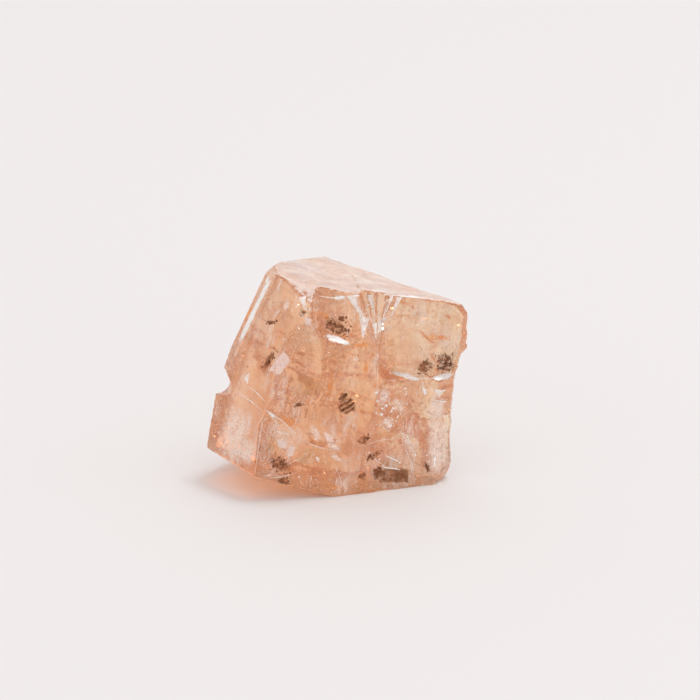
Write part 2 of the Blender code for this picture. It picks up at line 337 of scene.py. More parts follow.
# Hairline cracks, and white lines of painted highlight along the top rim and at the foot: from, to, how far
# they bow aside, and width.
CRACKS = {
    "fold_line_upper": ((-5.75, -2.05), (-4.75, -2.95), 0.04, 0.08),
    "fold_line_lower": ((-6.30, -2.45), (-4.95, -3.45), 0.04, 0.09),
    "fold_line_end": ((-4.70, -3.40), (-4.25, -4.05), 0.03, 0.14),
    "block_edge": ((-4.95, -3.75), (-5.42, -7.20), 0.02, 0.05),
    "low_ridge": ((-4.70, -3.35), (-2.80, -5.10), 0.10, 0.07),
    "low_ridge_end": ((-2.80, -5.10), (-0.50, -5.75), -0.10, 0.06),
    "scoop_rim": ((0.85, -5.45), (2.85, -5.05), 0.12, 0.05),
    "scoop_side": ((2.95, -5.05), (3.60, -7.70), 0.15, 0.06),
    "block_line": ((1.20, -5.95), (2.05, -6.60), -0.10, 0.07),
    "block_side": ((3.45, -6.10), (3.68, -7.60), 0.04, 0.07),
    "window_line": ((-4.60, -4.65), (-3.30, -4.85), 0.10, 0.07),
    "window_second_line": ((-4.40, -4.85), (-3.20, -4.55), -0.06, 0.05),
    "low_left_line": ((-4.45, -7.25), (-3.00, -6.95), -0.05, 0.07),
    "strip_ledge": ((4.60, -3.05), (5.60, -2.80), 0.06, 0.07),
    "strip_second_ledge": ((4.75, -2.35), (5.45, -2.60), 0.08, 0.06),
    "column_edge": ((1.55, 0.45), (1.55, -2.90), 0.02, 0.05),
    "fan_one": ((0.75, 3.10), (1.50, 0.60), 0.03, 0.07),
    "fan_two": ((1.10, 3.15), (1.52, 0.60), 0.02, 0.06),
    "fan_three": ((1.60, 3.05), (1.58, 0.60), 0.02, 0.08),
    "fan_four": ((2.15, 2.90), (1.65, 0.60), -0.03, 0.10),
    "fan_five": ((0.40, 2.60), (1.40, 0.62), 0.05, 0.05),
    # Painted highlights along the top rim.
    "top_rim_left_highlight": ((-1.80, 3.05), (0.10, 3.05), -0.10, 0.10),
    "top_rim_corner_highlight": ((-4.75, 4.55), (-1.90, 3.10), 0.10, 0.07),
    "top_rim_right_highlight": ((1.90, 3.14), (6.32, 2.67), 0.05, 0.15),
    "right_rim": ((2.10, -1.75), (5.95, -1.70), 0.12, 0.07),
    "foot_line": ((-3.60, -6.55), (-2.60, -6.10), 0.05, 0.05),
    "foot_flash": ((-1.95, -6.10), (-1.70, -6.40), 0.0, 0.08),
}

# The tables above as pieces: entries, height above the skin, finish and slot.
FILM_SHEETS = {
    "mineral_films": (MINERAL_FILMS, FILM_LIFT, "mineral_film", "mineral_flecks"),
    "striped_films": (STRIPED_FILMS, FILM_LIFT, "striped_film", "mineral_flecks"),
    "smoke_films": (SMOKE_FILMS, SMOKE_LIFT, "smoke_film", "mineral_flecks"),
    "stain_films": (STAIN_AND_SHADE_FILMS, FILM_LIFT, "stain_and_shade_film", "iron_stain"),
    "flash_films": (PAINTED_HIGHLIGHT_FILMS, LIFT, "painted_highlight_film", "veils"),
    "sheen_films": (PAINTED_SHEEN_FILMS, LIFT, "painted_sheen_film", "veils"),
    "veil_films": (VEIL_FILMS, VEIL_LIFT, "veil_film", "veils"),
}
PANE_SHEETS = {
    "bright_splinters": (PAINTED_GLINT_SPLINTERS, LIFT, "painted_glint_splinter", "veils"),
    "pale_panes": (PANES, LIFT, "pale_pane", "veils"),
    "dark_panes": (DARK_PANES, LIFT, "dark_pane", "mineral_flecks"),
}
CRACK_SHEETS = {
    "hairline_cracks": (CRACKS, LIFT, "crack", "veils"),
}

# Finishes of films, panes, flakes and grains. Colours are named settings. Rim is how ragged and how
# soft the edge is. Mottle is its scale, its cover, and the least that shows between its blots.
Sheet = namedtuple(
    "Sheet", "colours roughness rim mottle strength shine metallic stripes dense slanted",
    defaults=(0.5, 0.0, 0.0, False, False),
)
MINERAL = ("mineral_dark", "mineral_warm")
# White and cream of the painted highlights, sheens and sparkles, and of the metal chips and patch sparkles.
BRIGHT = ("bright_white", "bright_cream")
# White and peach of the painted glints, of the metal flakes, and of the pale cracks and hairlines.
SPARK = ("bright_white", "bright_peach")
VEIL = ("veil_pale", "veil_peach")
SHEETS = {
    "mineral_film": Sheet(MINERAL, 0.9, (1.0, 0.25), (3600.0, 0.66, 0.22), 0.92, shine=0.0, dense=True),
    "striped_film": Sheet(
        ("mineral_dark", "mineral_middle"), 0.9, (0.8, 0.2), (3600.0, 0.72, 0.55), 0.97, 0.0, stripes=1.3
    ),
    "dark_pane": Sheet(
        ("mineral_middle", "mineral_pale"), 0.9, (0.45, 0.15), (3000.0, 0.62, 0.45), 0.85, 0.0, dense=True
    ),
    "grain": Sheet(("mineral_dark", "mineral_middle"), 0.9, None, None, 1.0, shine=0.0, dense=True),
    "smoke_film": Sheet(("smoke_deep", "smoke_light"), 0.9, (0.8, 0.75), (1800.0, 0.60, 0.30), 0.62, 0.0),
    "dark_hairline": Sheet(("smoke_deep", "smoke_light"), 0.8, None, (3000.0, 0.55, 0.05), 0.5, 0.0),
    # Iron stains, and the painted shade of the band along the left edge.
    "stain_and_shade_film": Sheet(("stain_and_shade_deep", "stain_and_shade_light"), 0.8, (0.8, 0.5), (2200.0, 0.60, 0.25), 0.65, 0.0),
    "veil_film": Sheet(VEIL, 0.5, (0.9, 0.45), (2600.0, 0.68, 0.35), 0.80),
    # Frost inside the foot, whose pale colour is also painted glow for light that passes through the stone
    # to the floor under it.
    "foot_frost": Sheet(VEIL, 0.8, None, (1500.0, 0.75, 0.30), 0.75, shine=0.0),
    "pale_pane": Sheet(("pane_pale", "pane_pink"), 0.4, (0.30, 0.12), (2600.0, 0.62, 0.75), 0.85),
    # Painted highlights: the white films where lips, rims and ledges catch the light.
    "painted_highlight_film": Sheet(BRIGHT, 0.25, (0.75, 0.22), (3200.0, 0.80, 0.60), 1.0),
    # Painted sheen, which shows only at a slant.
    "painted_sheen_film": Sheet(BRIGHT, 0.2, (0.60, 0.25), (3200.0, 0.85, 0.60), 1.0, slanted=True),
    # Painted sparkles: white flecks, not metal, strewn on the painted highlights.
    "sparkle": Sheet(BRIGHT, 0.2, None, None, 0.95),
    "patch_sparkle": Sheet(BRIGHT, 0.2, None, None, 0.95, metallic=1.0),
    "chip": Sheet(BRIGHT, 0.28, None, None, 0.85, metallic=1.0),
    "flake": Sheet(SPARK, 0.22, None, None, 0.7, metallic=1.0),
    # Painted glints: white and peach films where facets would catch the light.
    "painted_glint_splinter": Sheet(SPARK, 0.25, None, (3000.0, 0.70, 0.50), 0.92),
    # Pale cracks, and the white lines of painted highlight along the top rim.
    "crack": Sheet(SPARK, 0.3, (0.8, 0.6), (3400.0, 0.80, 0.45), 0.95),
    "pale_hairline": Sheet(SPARK, 0.3, None, (3000.0, 0.60, 0.10), 0.75),
}

# How fine the patterns of the finishes are, in clouds or blots to the metre.
SHEET_MINGLE = 2600.0
RIM_RAGS = 2500.0
VEIL_MINGLE = 500.0
VEIL_STRANDS = 2600.0
FROST_DRIFT = 330.0
FROST_GRAIN = 1100.0
HAZE_COLOURS = 480.0
HAZE_PINKS = 300.0
HAZE_CLOUDS = 1100.0
BODY_TINTS = 260.0
BODY_WARMTH = 420.0
BODY_BLOTCHES = 620.0
BODY_GRAIN = 1700.0

# Hairlines drawn all over the skin. Density is the count on a square millimetre.
Hairline = namedtuple("Hairline", "slot density lengths width stray seed sheet")
HAIRLINES = {
    "pale_hairlines": Hairline("veils", 2.0, (0.12, 1.10), 0.038, 0.9, 3, "pale_hairline"),
    "dark_hairlines": Hairline("iron_stain", 0.8, (0.12, 0.90), 0.030, 1.2, 8, "dark_hairline"),
}

# Flakes and grains strewn on another piece: smallest and largest radius, and depths from the
# shallowest to the deepest, below 0 outside the piece. With sunk, only those inside it stay.
Strewn = namedtuple(
    "Strewn", "ground slot density sizes depths seed sheet grain sunk", defaults=(False, False)
)
STREWN = {
    "bright_flakes": Strewn("topaz_stone", "veils", 5.0, (0.02, 0.16), (0.12, 1.6), 4, "flake", sunk=True),
    "surface_chips": Strewn("topaz_stone", "veils", 9.0, (0.015, 0.07), (-0.01, 0.01), 21, "chip"),
    # White flecks of painted sparkle on the painted highlights.
    "flash_sparkles": Strewn("flash_films", "veils", 30.0, (0.012, 0.06), (-0.02, 0.06), 5, "sparkle"),
    "patch_sparkles": Strewn(
        "sparkle_patches", "veils", 36.0, (0.012, 0.11), (-0.03, 0.01), 11, "patch_sparkle"
    ),
    "mineral_grains": Strewn(
        "mineral_films", "mineral_flecks", 45.0, (0.015, 0.07), (-0.02, 0.06), 9, "grain", grain=True
    ),
}


# ---------------------------------------------------------------- settings


def length_in_mm(name, description, default):
    """A setting for a length in the stone's own millimetres."""
    return bpy.props.FloatProperty(name=name, description=description + ", in mm", default=default, min=0.0)


def length_in_m(name, description, default):
    """A setting for a length in the scene's metres."""
    return bpy.props.FloatProperty(
        name=name, description=description, subtype="DISTANCE", unit="LENGTH", default=default, min=0.0
    )


def amount(name, description, default):
    """A setting for a plain number."""
    return bpy.props.FloatProperty(name=name, description=description, default=default, min=0.0)


def colour(name, description, default):
    """A setting for a colour."""
    return bpy.props.FloatVectorProperty(
        name=name, description=description, subtype="COLOR", size=3, default=default, min=0.0, max=1.0
    )


class TopazStoneSettings(bpy.types.PropertyGroup):
    """Form and clear body of the stone"""

    cell: bpy.props.FloatProperty(
        name="Cell", description="Edge of the field's cells, in mm", default=0.1, min=0.05, max=0.5
    )
    edge_wear: length_in_mm("Edge Wear", "How far worn edges are rounded", 0.13)
    rim_wear: length_in_mm("Rim Wear", "How far the rims of breaks are rounded", 0.05)
    back_wear: length_in_mm("Back Wear", "How much more the edges at the back are rounded", 0.6)
    wobble: length_in_mm("Wobble", "How far breaks stray from their plain form", 0.22)
    ledge: length_in_mm("Ledge", "Depth of the small cleavage ledges in broken faces", 0.12)
    streak: length_in_mm("Streak", "Depth of the growth streaks on grown faces", 0.016)
    ior: bpy.props.FloatProperty(name="IOR", description="Refractive index of topaz", default=1.62, min=1.0)
    absorption: amount("Absorption", "Density of the colour inside the stone, per metre", 47.0)
    depth_colour: colour("Depth Colour", "Colour that the stone's depth lets through", (0.985, 0.50, 0.05))
    left_tint: colour("Left Tint", "Tint of the skin to the left", (1.0, 0.80, 0.71))
    right_tint: colour("Right Tint", "Tint of the skin to the right", (1.0, 0.83, 0.62))
    middle_tint: colour("Middle Tint", "Tint of the skin round the warm middle", (1.0, 0.62, 0.36))
    blotch_tint: colour("Blotch Tint", "Tint of the small deeper blotches", (0.98, 0.58, 0.33))
    shadow_tint: colour("Shadow Tint", "Colour of light that passes straight through", (0.69, 0.46, 0.28))
    slant_tint: colour("Slant Tint", "Colour of light that passes at a slant", (0.38, 0.16, 0.08))


class TopazMarksSettings(bpy.types.PropertyGroup):
    """Colours and amounts of the films, veils, flakes and grains"""

    mineral_dark: colour("Mineral Dark", "Darkest of the mineral flecks", (0.11, 0.036, 0.017))
    mineral_middle: colour("Mineral Middle", "Middle brown of grains and stripes", (0.22, 0.085, 0.043))
    mineral_warm: colour("Mineral Warm", "Warm brown of the mottled films", (0.36, 0.145, 0.075))
    mineral_pale: colour("Mineral Pale", "Palest brown of the dark panes", (0.42, 0.20, 0.11))
    smoke_deep: colour("Smoke Deep", "Deeper colour of the smoky films", (0.50, 0.25, 0.10))
    smoke_light: colour("Smoke Light", "Lighter colour of the smoky films", (0.70, 0.39, 0.17))
    # Colours of the iron stains, and of the band of painted shade along the left edge.
    stain_and_shade_deep: colour("Stain Deep", "Deeper colour of the iron stain", (0.92, 0.30, 0.07))
    stain_and_shade_light: colour("Stain Light", "Lighter colour of the iron stain", (1.0, 0.44, 0.16))
    # Colours of the painted highlights, sheens, glints and sparkles, and of the metal chips and flakes.
    bright_white: colour("Bright White", "White of flashes and sparkles", (1.0, 0.98, 0.96))
    bright_cream: colour("Bright Cream", "Cream of flashes and sparkles", (1.0, 0.95, 0.92))
    bright_peach: colour("Bright Peach", "Peach of splinters and cracks", (1.0, 0.86, 0.77))
    pane_pale: colour("Pane Pale", "Paler colour of the pale panes", (1.0, 0.84, 0.78))
    pane_pink: colour("Pane Pink", "Pinker colour of the pale panes", (1.0, 0.75, 0.67))
    # Colours of the veils, and of the foot's frost with its painted glow.
    veil_pale: colour("Veil Pale", "Paler colour of the veils", (1.0, 0.88, 0.81))
    veil_peach: colour("Veil Peach", "Warmer colour of the veils", (1.0, 0.77, 0.64))
    # Colours of the cleaved top's frost, which also paints its pale reflection.
    top_frost_and_reflection_pale: colour("Frost Pale", "Paler colour of the cleaved top's frost", (0.91, 0.82, 0.78))
    top_frost_and_reflection_warm: colour("Frost Warm", "Warmer colour of the cleaved top's frost", (0.94, 0.74, 0.62))
    haze_orange: colour("Haze Orange", "Orange clouds of the haze", (1.0, 0.47, 0.20))
    haze_peach: colour("Haze Peach", "Peach clouds of the haze", (1.0, 0.76, 0.56))
    haze_pink: colour("Haze Pink", "Pink clouds of the haze", (1.0, 0.72, 0.64))
    haze_strength: amount("Haze Strength", "How opaque the haze is where it is thickest", 0.30)
    veil_cover: amount("Veil Cover", "How much of the skin the streaky veils cover", 0.55)
    hairline_share: amount("Hairlines", "Share of the usual number of hairlines", 1.0)
    flake_share: amount("Flakes", "Share of the usual number of flakes and grains", 1.0)


class TopazStageSettings(bpy.types.PropertyGroup):
    """Camera, light and floor"""

    elevation: bpy.props.FloatProperty(
        name="Elevation", description="Camera's height above the horizon", subtype="ANGLE",
        default=math.radians(18.0),
    )
    distance: length_in_m("Distance", "From the camera to the point that it looks at", 0.280)
    lens: amount("Lens", "Focal length in mm", 252.0)
    key_power: amount("Key Power", "Radiance of the softbox overhead", 17.2)
    softbox_size: length_in_m("Softbox Size", "Edge of the square softbox", 0.14)
    softbox_place: bpy.props.FloatVectorProperty(
        name="Softbox Place", description="Middle of the softbox", subtype="TRANSLATION",
        unit="LENGTH", default=(0.17, 0.03, 0.60),
    )
    fill: amount("Fill", "Brightness of the pale surroundings", 0.80)
    fill_colour: colour("Fill Colour", "Colour of the pale surroundings", (1.0, 0.985, 0.98))
    floor_colour: colour("Floor Colour", "Colour of the floor", (0.84, 0.812, 0.808))


# ---------------------------------------------------------------- node helpers


def opaque(colour):
    """A colour setting as a node's socket takes it, with full alpha."""
    return (*colour, 1.0)


def by_identifier(sockets, identifier):
    """The socket with that identifier, on a node where several share a name."""
    return next(socket for socket in sockets if socket.identifier == identifier)


class Net:
    """Adds nodes to a tree and joins them, so that a formula reads in one line."""

    def __init__(self, tree):
        self.tree = tree

    def node(self, kind, *values, **settings):
        """A node of that kind. Values fill its inputs in order, and None leaves one as it is."""
        made = self.tree.nodes.new(kind)
        for name, value in settings.items():
            setattr(made, name, value)
        sockets = [socket for socket in made.inputs if socket.enabled]
        for socket, value in zip(sockets, values):
            self.feed(socket, value)
        return made

    def named(self, kind, values, **settings):
        """A node of that kind, with values for its inputs by their names."""
        made = self.node(kind, **settings)
        for name, value in values.items():
            self.feed(made.inputs[name], value)
        return made

    def feed(self, socket, value):
        """Links a socket to another node's, or gives it a plain value."""
        if isinstance(value, bpy.types.NodeSocket):
            self.tree.links.new(value, socket)
        elif value is not None:
            socket.default_value = value

    def math(self, operation, *values):
        """Maths on plain numbers."""
        return self.node("ShaderNodeMath", *values, operation=operation).outputs[0]

    def plus(self, first, second):
        """The sum of two numbers."""
        return self.math("ADD", first, second)

    def minus(self, first, second):
        """The first number less the second."""
        return self.math("SUBTRACT", first, second)

    def times(self, first, second):
        """The product of two numbers."""
        return self.math("MULTIPLY", first, second)

    def ramp(self, value, start, end, low=0.0, high=1.0):
        """Goes from low to high while the value goes from start to end, and no further."""
        return self.node("ShaderNodeMapRange", value, start, end, low, high).outputs[0]

    def centred(self, value, width):
        """A value of 0 to 1, moved to lie around 0 and made that wide."""
        return self.times(self.minus(value, 0.5), width)

    def vector(self, operation, *values):
        """Vector maths. Scale takes a vector and a number."""
        made = self.node("ShaderNodeVectorMath", operation=operation)
        scale = operation == "SCALE"
        sockets = (made.inputs["Vector"], made.inputs["Scale"]) if scale else made.inputs
        for socket, value in zip(sockets, values):
            self.feed(socket, value)
        return made.outputs["Value" if operation in ("DOT_PRODUCT", "LENGTH") else "Vector"]

    def joined(self, *parts):
        """A vector from its three parts."""
        return self.node("ShaderNodeCombineXYZ", *parts).outputs[0]

    def parts(self, vector):
        """The three parts of a vector."""
        return self.node("ShaderNodeSeparateXYZ", vector).outputs

    def noise(self, place, scale, detail=2.0, roughness=0.5, output="Fac"):
        """Cloudy noise, mostly between 0.3 and 0.7. Detail and roughness make it grainy."""
        values = {"Vector": place, "Scale": scale, "Detail": detail, "Roughness": roughness}
        return self.named("ShaderNodeTexNoise", values).outputs[output]

    def stray(self, place, scale, detail):
        """A small offset that drifts from place to place."""
        return self.vector("SUBTRACT", self.noise(place, scale, detail, output="Color"), (0.5, 0.5, 0.5))

    def mix(self, factor, first, second):
        """A colour that goes from the first to the second as the factor goes from 0 to 1."""
        made = self.node("ShaderNodeMix", data_type="RGBA")
        for name, value in (("Factor_Float", factor), ("A_Color", first), ("B_Color", second)):
            self.feed(by_identifier(made.inputs, name), value)
        return by_identifier(made.outputs, "Result_Color")

    def attribute(self, name):
        """A number that the mesh's points carry."""
        return self.node("ShaderNodeAttribute", attribute_name=name).outputs["Fac"]

    def object_place(self):
        """The place on the object, in a material."""
        return self.node("ShaderNodeTexCoord").outputs["Object"]

    def place(self):
        """The place of each point, in a Geometry Nodes tree."""
        return self.node("GeometryNodeInputPosition").outputs[0]

    def normal(self):
        """The outward direction at each point, in a Geometry Nodes tree."""
        return self.node("GeometryNodeInputNormal").outputs[0]

    def chance(self, low, high, seed, salt):
        """A random number for each point. The salt keeps the draws of one seed apart."""
        made = self.node("FunctionNodeRandomValue")
        for name, value in (("Min_001", low), ("Max_001", high), ("Seed", self.plus(seed, salt))):
            self.feed(by_identifier(made.inputs, name), value)
        return by_identifier(made.outputs, "Value_001")

    def skewed(self, low, high, bias, seed, salt):
        """A random number for each point, which lies nearer to low the higher the bias is."""
        share = self.math("POWER", self.chance(0.0, 1.0, seed, salt), bias)
        return self.plus(low, self.times(self.minus(high, low), share))

    def surface_of(self, piece):
        """The mesh of the object that an input names."""
        return self.node("GeometryNodeObjectInfo", piece).outputs["Geometry"]

    def moved(self, geometry, offset):
        """The geometry with each point moved by the offset."""
        return self.named("GeometryNodeSetPosition", {"Geometry": geometry, "Offset": offset}).outputs[0]

    def without(self, geometry, chosen):
        """The geometry without the chosen points."""
        values = {"Geometry": geometry, "Selection": chosen}
        return self.named("GeometryNodeDeleteGeometry", values).outputs[0]

    def copies(self, points, shape, turn, scale):
        """A turned and scaled copy of a shape at each point."""
        values = {"Points": points, "Instance": shape, "Rotation": turn, "Scale": scale}
        return self.named("GeometryNodeInstanceOnPoints", values).outputs[0]


def started_tree(name, kind, inputs, output):
    """A new tree of that kind: its node helper, and the sockets that its inputs come in by.

    An input's value is its default when it's a number, and otherwise the kind of its socket. The
    output is given by its name and kind.
    """
    tree = bpy.data.node_groups.new(name, kind)
    for label, value in inputs.items():
        number = isinstance(value, float)
        socket_type = "NodeSocket" + ("Float" if number else value)
        socket = tree.interface.new_socket(name=label, in_out="INPUT", socket_type=socket_type)
        if number:
            socket.default_value = value
    label, socket_kind = output
    tree.interface.new_socket(name=label, in_out="OUTPUT", socket_type="NodeSocket" + socket_kind)
    net = Net(tree)
    return net, net.node("NodeGroupInput").outputs


def ended_tree(net, output, result):
    """The tree, after its result is led out."""
    net.feed(net.node("NodeGroupOutput").inputs[output], result)
    return net.tree


def painted_tree(net, output, geometry, finish):
    """The tree, after its geometry is made real, gets its material and is led out."""
    real = net.node("GeometryNodeRealizeInstances", geometry).outputs[0]
    painted = net.named("GeometryNodeSetMaterial", {"Geometry": real, "Material": finish})
    return ended_tree(net, output, painted.outputs[0])


# ---------------------------------------------------------------- the stone's form


def break_distance_group():
    """Field group: how deep a point lies inside one squared ellipsoid, with conchoidal ripples."""
    net, given = started_tree("Break depth", "GeometryNodeTree", {
        "Place": "Vector", "Across": "Vector", "Inwards": "Vector", "Up": "Vector",
        "Half Sizes": "Vector", "Strike": "Vector", "Power": 2.0, "Ripple": 0.03, "Spacing": 0.5,
    }, ("Depth", "Float"))
    turned = net.joined(
        *(net.vector("DOT_PRODUCT", given["Place"], given[axis]) for axis in ("Across", "Inwards", "Up"))
    )
    shares = net.vector("ABSOLUTE", net.vector("DIVIDE", turned, given["Half Sizes"]))
    powers = [net.math("POWER", share, given["Power"]) for share in net.parts(shares)]
    total = net.plus(net.plus(powers[0], powers[1]), powers[2])
    size = net.math("POWER", total, net.math("DIVIDE", 1.0, given["Power"]))
    plain = net.times(net.minus(1.0, size), net.parts(given["Half Sizes"])[1])
    reach = net.vector("SUBTRACT", turned, given["Strike"])
    rings = net.math("DIVIDE", net.vector("LENGTH", reach), given["Spacing"])
    phase = net.plus(rings, net.times(net.noise(turned, 0.7, 1.0), 2.0))
    wave = net.math("SINE", net.times(phase, math.tau))
    faded = net.times(net.noise(turned, 0.45, 1.0), given["Ripple"])
    hackle = net.centred(net.noise(net.vector("NORMALIZE", reach), 9.0), given["Ripple"])
    relief = net.plus(net.times(wave, faded), net.times(hackle, 2.5))
    return ended_tree(net, "Depth", net.plus(plain, relief))


def surface_marks(net, place, given):
    """What each finish adds to a face: rough ledges, growth streaks or cleavage terraces, in mm."""
    along = net.vector("DOT_PRODUCT", place, CRYSTAL_AXIS)
    drift = net.times(net.noise(place, 0.35), 3.0)
    saw = net.math("FRACT", net.plus(net.times(along, LEDGES_PER_MM), drift))
    gate = net.ramp(net.noise(place, 0.6, 1.0), 0.45, 0.62)
    ledges = net.times(net.times(saw, gate), net.times(given["Ledge"], -1.0))
    rough = net.centred(net.noise(place, 1.3), BREAK_ROUGHNESS)
    flattened = net.vector("SCALE", CRYSTAL_AXIS, net.times(along, STREAK_DRAW))
    streaks = net.centred(net.noise(net.vector("SUBTRACT", place, flattened), 1.9), given["Streak"])
    steps = net.math("FLOOR", net.times(net.noise(place, 0.42, 2.0, 0.55), TERRACES))
    return {
        "broken": net.plus(rough, ledges),
        "grown": streaks,
        "cleaved": net.minus(net.times(steps, TERRACE_STEP), TERRACE_LEVEL),
    }


def struck_break(net, group, place, form, struck, ripple):
    """How deep a place lies inside one break. Its form is the first four values of a table entry."""
    deepest, (azimuth, elevation, spin), half_sizes, squareness = form
    outward = direction(azimuth, elevation)
    across = Vector((0.0, 0.0, 1.0)).cross(outward).normalized()
    turn = Matrix((across, -outward, outward.cross(across))).transposed()
    turn = turn @ Matrix.Rotation(math.radians(spin), 3, "Y")
    centre = Vector(deepest) + outward * half_sizes[1]
    angle = math.radians(struck)
    strike = math.cos(angle) * half_sizes[0], STRIKE_DEPTH * half_sizes[1], math.sin(angle) * half_sizes[2]
    return net.named("GeometryNodeGroup", {
        "Place": net.vector("SUBTRACT", place, tuple(centre)),
        "Across": tuple(turn.col[0]),
        "Inwards": tuple(turn.col[1]),
        "Up": tuple(turn.col[2]),
        "Half Sizes": half_sizes,
        "Power": 2.0 / squareness,
        "Strike": strike,
        "Ripple": ripple,
        "Spacing": RIPPLE_SPACING + RIPPLE_GROWTH * half_sizes[2],
    }, node_tree=group).outputs["Depth"]


def edge_wear(net, place, given):
    """How far edges are rounded at each place: unevenly, and more so low down at the back."""
    uneven = net.times(given["Edge Wear"], net.plus(0.3, net.noise(place, 0.8)))
    depth, height = net.parts(place)[1:]
    behind = net.times(net.ramp(depth, *BACK_DEPTHS), net.ramp(height, *BACK_HEIGHTS))
    return net.plus(uneven, net.times(behind, given["Back Wear"]))


def meshed_field(net, field, cell):
    """The surface on which a field is 0, read in a block of cells."""
    cells = {
        "Resolution " + axis: net.math("CEIL", net.math("DIVIDE", length, cell))
        for axis, length in zip("XYZ", FIELD_HIGH - FIELD_LOW)
    }
    block = net.named("GeometryNodeVolumeCube", {
        "Density": net.times(field, -1.0), "Background": -1.0, "Min": FIELD_LOW, "Max": FIELD_HIGH, **cells,
    })
    skin = net.named("GeometryNodeVolumeToMesh", {"Volume": block.outputs[0], "Threshold": 0.0})
    return net.node("GeometryNodeSetShadeSmooth", skin.outputs[0]).outputs[0]


def stone_tree():
    """Geometry Nodes tree: reads the stone's distance field in a block of cells and meshes it."""
    net, given = started_tree("Topaz form", "GeometryNodeTree", {
        "Cell": 0.1, "Edge Wear": 0.1, "Rim Wear": 0.1, "Back Wear": 0.5, "Wobble": 0.2, "Ledge": 0.1,
        "Streak": 0.02, "Finish": "Material",
    }, ("Stone", "Geometry"))
    place = net.place()
    bent = net.vector("ADD", place, net.vector("SCALE", net.stray(place, 0.55, 3.0), given["Wobble"]))
    marks = surface_marks(net, place, given)
    wear = edge_wear(net, place, given)
    stone = None
    for azimuth, elevation, distance, finish in FACES.values():
        outward = direction(azimuth, elevation)
        level = outward.dot(HEART) + distance
        source = bent if finish == "broken" else place
        face = net.minus(net.vector("DOT_PRODUCT", source, tuple(outward)), level)
        if finish in marks:
            face = net.plus(face, marks[finish])
        stone = face if stone is None else net.math("SMOOTH_MAX", stone, face, wear)
    depth_group = break_distance_group()
    for *form, (struck, ripple) in BREAKS.values():
        bite = struck_break(net, depth_group, bent, form, struck, ripple)
        if ripple > 0.0:
            bite = net.plus(bite, marks["broken"])
        stone = net.math("SMOOTH_MAX", stone, bite, given["Rim Wear"])
    for form in GLINTS.values():
        stone = net.math("MAXIMUM", stone, struck_break(net, depth_group, place, form, 90, 0.0))
    return painted_tree(net, "Stone", meshed_field(net, stone, given["Cell"]), given["Finish"])


def set_inputs(modifier, tree, values):
    """Sets a modifier's inputs by their sockets' identifiers."""
    for item in tree.interface.items_tree:
        if item.item_type == "SOCKET" and item.in_out == "INPUT" and item.name in values:
            modifier[item.identifier] = values[item.name]


def grown_mesh(name, tree, values):
    """The plain mesh that a tree gives on an empty object."""
    seed_mesh = bpy.data.meshes.new(name + "_seed")
    seed = bpy.data.objects.new(name + "_seed", seed_mesh)
    bpy.context.scene.collection.objects.link(seed)
    modifier = seed.modifiers.new(name, "NODES")
    modifier.node_group = tree
    set_inputs(modifier, tree, values)
    graph = bpy.context.evaluated_depsgraph_get()
    mesh = bpy.data.meshes.new_from_object(seed.evaluated_get(graph), depsgraph=graph)
    bpy.data.objects.remove(seed)
    bpy.data.meshes.remove(seed_mesh)
    mesh.name = name
    return mesh


def keep_largest_island(solid):
    """Removes the crumbs that the field leaves beside the stone."""
    unseen, largest = set(solid.verts), []
    while unseen:
        start = unseen.pop()
        island, front = [start], [start]
        while front:
            for edge in front.pop().link_edges:
                for vert in edge.verts:
                    if vert in unseen:
                        unseen.remove(vert)
                        island.append(vert)
                        front.append(vert)
        if len(island) > len(largest):
            largest = island
    kept = set(largest)
    bmesh.ops.delete(solid, geom=[vert for vert in solid.verts if vert not in kept], context="VERTS")


def to_row_frame(mesh):
    """Millimetres in the stone's frame to metres in the row's frame."""
    mesh.transform(Matrix.Scale(MM, 4) @ Matrix.Translation(STONE_SHIFT))


def link_piece(name, mesh):
    """A piece in the scene that shows a finished mesh."""
    piece = bpy.data.objects.new(name, mesh)
    bpy.context.scene.collection.objects.link(piece)
    return piece


# ---------------------------------------------------------------- marks on and in the stone


def stone_skin():
    """The finished stone's surface for ray casts, in millimetres in the stone's own frame."""
    mesh = bpy.data.objects["topaz_stone"].data
    places = [vert.co / MM - STONE_SHIFT for vert in mesh.vertices]
    return BVHTree.FromPolygons(places, [tuple(face.vertices) for face in mesh.polygons])


def over_front(skin, across, up, lift):
    """The place that far above the broken front's skin, or None where the stone ends."""
    start = FRONT_MIDDLE + Vector((across, 0.0, 0.0)) + FRONT_UP * up + FRONT_SIGHT * SIGHT_START
    hit = skin.ray_cast(start, -FRONT_SIGHT)[0]
    return None if hit is None else hit + FRONT_SIGHT * lift


def laid_strip(solid, skin, places, lift, uvs, reaches):
    """Lays a grid of places along the front's skin. Faces that would jump a ledge stay open."""
    uv_layer = solid.loops.layers.uv.verify()
    reach_layer = solid.verts.layers.float.get("reach") or solid.verts.layers.float.new("reach")
    rows = []
    for row, reach_row in zip(places, reaches):
        verts = []
        for (across, up), reach in zip(row, reach_row):
            place = over_front(skin, across, up, lift)
            vert = None if place is None else solid.verts.new(place)
            if vert is not None:
                vert[reach_layer] = reach
            verts.append(vert)
        rows.append(verts)
    for i in range(len(rows) - 1):
        for j in range(len(rows[i]) - 1):
            corners = [rows[i][j], rows[i][j + 1], rows[i + 1][j + 1], rows[i + 1][j]]
            if None in corners:
                continue
            sides = [(corners[k].co - corners[k - 1].co).length for k in range(4)]
            if max(sides) > LONGEST_SIDE:
                continue
            face = solid.faces.new(corners)
            face.smooth = True
            for loop, (a, b) in zip(face.loops, ((i, j), (i, j + 1), (i + 1, j + 1), (i + 1, j))):
                loop[uv_layer].uv = uvs[a][b]


